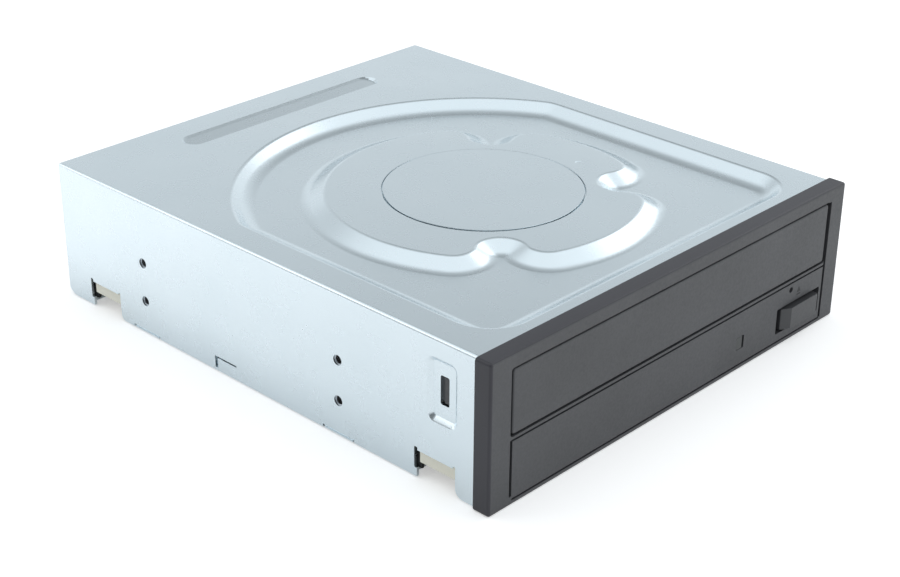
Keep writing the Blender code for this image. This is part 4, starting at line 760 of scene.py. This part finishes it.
def tray_door():
    """Door plate with four shallow pockets in its back."""
    door = block("door", (-66, 66), (FACE, FACE + 3.4), (19.5, 37.2))
    round_edges(door, 0.8, 5, lambda e: runs_along(e, "Y"))
    round_edges(door, 0.45, 4, lambda e: abs(middle(e).y - FACE) < 0.1)
    pocket_width, rib = 30.25, 2.0
    for number in range(4):
        x = -63.5 + number * (pocket_width + rib)
        carve(door, block("pocket", (x, x + pocket_width), (FACE + 1.9, 0), (22.0, 35.3)))
    polish(door, 35)
    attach(door, "tray")
    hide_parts("tray_door")
    dress(door, bezel_black)


tray_door()

lens = rounded_block("lens_window", (25.8, 28.3), (FACE + 0.06, -2.2), (6.3, 10.0), 0.3, "Y", 3)
polish(lens)
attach(lens, "chassis")
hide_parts("led_lens")
dress(lens, smoked_lens)

softened_copy("tray", "disc_tray", 0.22, tray_black)
softened_copy("main_frame", "inner_frame", 0.2, cream_plastic)

# Everything else keeps its CAD shape

FINISHES = {
    "zinc_steel": zinc_steel, "black_plastic": bezel_black, "tray_plastic": tray_black,
    "cream_plastic": cream_plastic, "gear_plastic": gear_white, "rubber": soft_rubber,
    "steel": bright_steel, "board": board_green, "chip": chip_black, "lens": coated_lens,
    "diecast": cast_zinc, "magnet": magnet_grey,
}
for name, node in frame["nodes"].items():
    slots = [m.name.split(".")[0] if m else "" for m in node.data.materials]
    finish = FINISHES.get(slots[0] if slots else "", bezel_black)
    for index in range(len(node.data.materials)):
        node.data.materials[index] = finish

# Floor, light and camera

def white_floor():
    """Pale floor, white to the camera and bright where the steel mirrors it."""
    lay_down()
    bpy.ops.mesh.primitive_plane_add(size=8, location=(0, 0, 0))
    floor = bpy.context.object
    floor.name = "floor"
    paper, tree, shader, place = graph("white paper")
    shader.inputs["Base Color"].default_value = (0.86, 0.86, 0.86, 1)
    shader.inputs["Roughness"].default_value = 0.8
    shader.inputs["Specular IOR Level"].default_value = 0.2
    shader.inputs["Emission Color"].default_value = (1, 1, 1, 1)
    along = tree.nodes.new("ShaderNodeSeparateXYZ")
    tree.links.new(place.outputs["Object"], along.inputs[0])
    # Left of the drive the mirrored floor brightens to the rear, elsewhere to the front
    beside = ranged(tree, along.outputs["Y"], -0.20, 0.13, 0.08, 0.42)
    before = ranged(tree, along.outputs["Y"], -0.10, -0.06, 0.38, 0)
    glow = ranged(tree, along.outputs["X"], -0.09, -0.06, beside, before)
    rays = tree.nodes.new("ShaderNodeLightPath")
    shown = tree.nodes.new("ShaderNodeMath")
    shown.operation = "MULTIPLY_ADD"
    shown.inputs[1].default_value = 0.42
    tree.links.new(rays.outputs["Is Camera Ray"], shown.inputs[0])
    tree.links.new(multiplied(tree, rays.outputs["Is Glossy Ray"], glow), shown.inputs[2])
    tree.links.new(shown.outputs[0], shader.inputs["Emission Strength"])
    floor.data.materials.append(paper)


white_floor()

# The room from the horizon (0.5) to straight up (1.0), with the level at each height: bright
# near the white table, darker above it, bright again under the ceiling
SKY = ((0.50, 0.72), (0.60, 0.90), (0.66, 0.92), (0.73, 0.63), (0.80, 0.66), (0.88, 0.98),
       (1.0, 0.92))
SKY_TINT = (0.95, 1, 1.03)


def studio_room():
    world = bpy.data.worlds.new("studio")
    bpy.context.scene.world = world
    world.use_nodes = True
    tree = world.node_tree
    background = tree.nodes["Background"]
    towards = tree.nodes.new("ShaderNodeTexCoord")
    parts = tree.nodes.new("ShaderNodeSeparateXYZ")
    tree.links.new(towards.outputs["Generated"], parts.inputs[0])
    ramp = tree.nodes.new("ShaderNodeValToRGB")
    for number, (place, level) in enumerate(SKY):
        stops = ramp.color_ramp.elements
        stop = stops[number] if number < 2 else stops.new(place)
        stop.position = place
        stop.color = (*(level * part for part in SKY_TINT), 1)
    tree.links.new(ranged(tree, parts.outputs["Z"], -1, 1, 0, 1), ramp.inputs["Fac"])
    tree.links.new(ramp.outputs["Color"], background.inputs["Color"])
    # Dimmer far to the left, and an unlit corner high up at the right rear
    leftward = ranged(tree, parts.outputs["X"], -1, -0.4, 0.1, 1)
    corner = tree.nodes.new("ShaderNodeVectorMath")
    corner.operation = "DOT_PRODUCT"
    corner.inputs[1].default_value = (0.50, 0.47, 0.73)
    tree.links.new(towards.outputs["Generated"], corner.inputs[0])
    unlit = ranged(tree, corner.outputs["Value"], 0.95, 0.985, 1, 0.45)
    tree.links.new(multiplied(tree, leftward, unlit), background.inputs["Strength"])


studio_room()


def softbox(name, place, aim, size, level):
    """Square light whose surface shines at a level, where 1 is white paper."""
    lay_down()
    bpy.ops.object.light_add(type="AREA", location=place)
    lamp = bpy.context.object
    lamp.name = name
    lamp.data.shape = "RECTANGLE"
    lamp.data.size, lamp.data.size_y = size
    lamp.data.energy = level * math.pi * size[0] * size[1]
    lamp.rotation_euler = (Vector(aim) - Vector(place)).to_track_quat("-Z", "Y").to_euler()


softbox("overhead", (-0.1, -0.1, 1.3), (0, 0, 0), (1.6, 1.4), 0.10)
softbox("right", (1.3, -0.15, 0.75), (0, 0, 0.03), (1.0, 1.1), 1.0)
softbox("left_high", (-0.79, 0.94, 0.86), (0, 0, 0.03), (0.9, 0.6), 1.1)
softbox("rear_left", (-0.75, 1.3, 0.25), (0, 0, 0.02), (0.7, 0.35), 0.9)
softbox("front", (0.5, -1.5, 0.5), (0, 0, 0.02), (1.2, 0.8), 0.8)

bpy.ops.object.camera_add(location=(-0.33974, -0.32265, 0.24178))
camera = bpy.context.object
camera.rotation_euler = [math.radians(angle) for angle in (63.2262, -0.3984, -46.3206)]
camera.data.lens = 71.70
camera.data.sensor_width = 36.0
camera.data.clip_start = 0.01
bpy.context.scene.camera = camera
bpy.context.scene.view_settings.view_transform = "Standard"
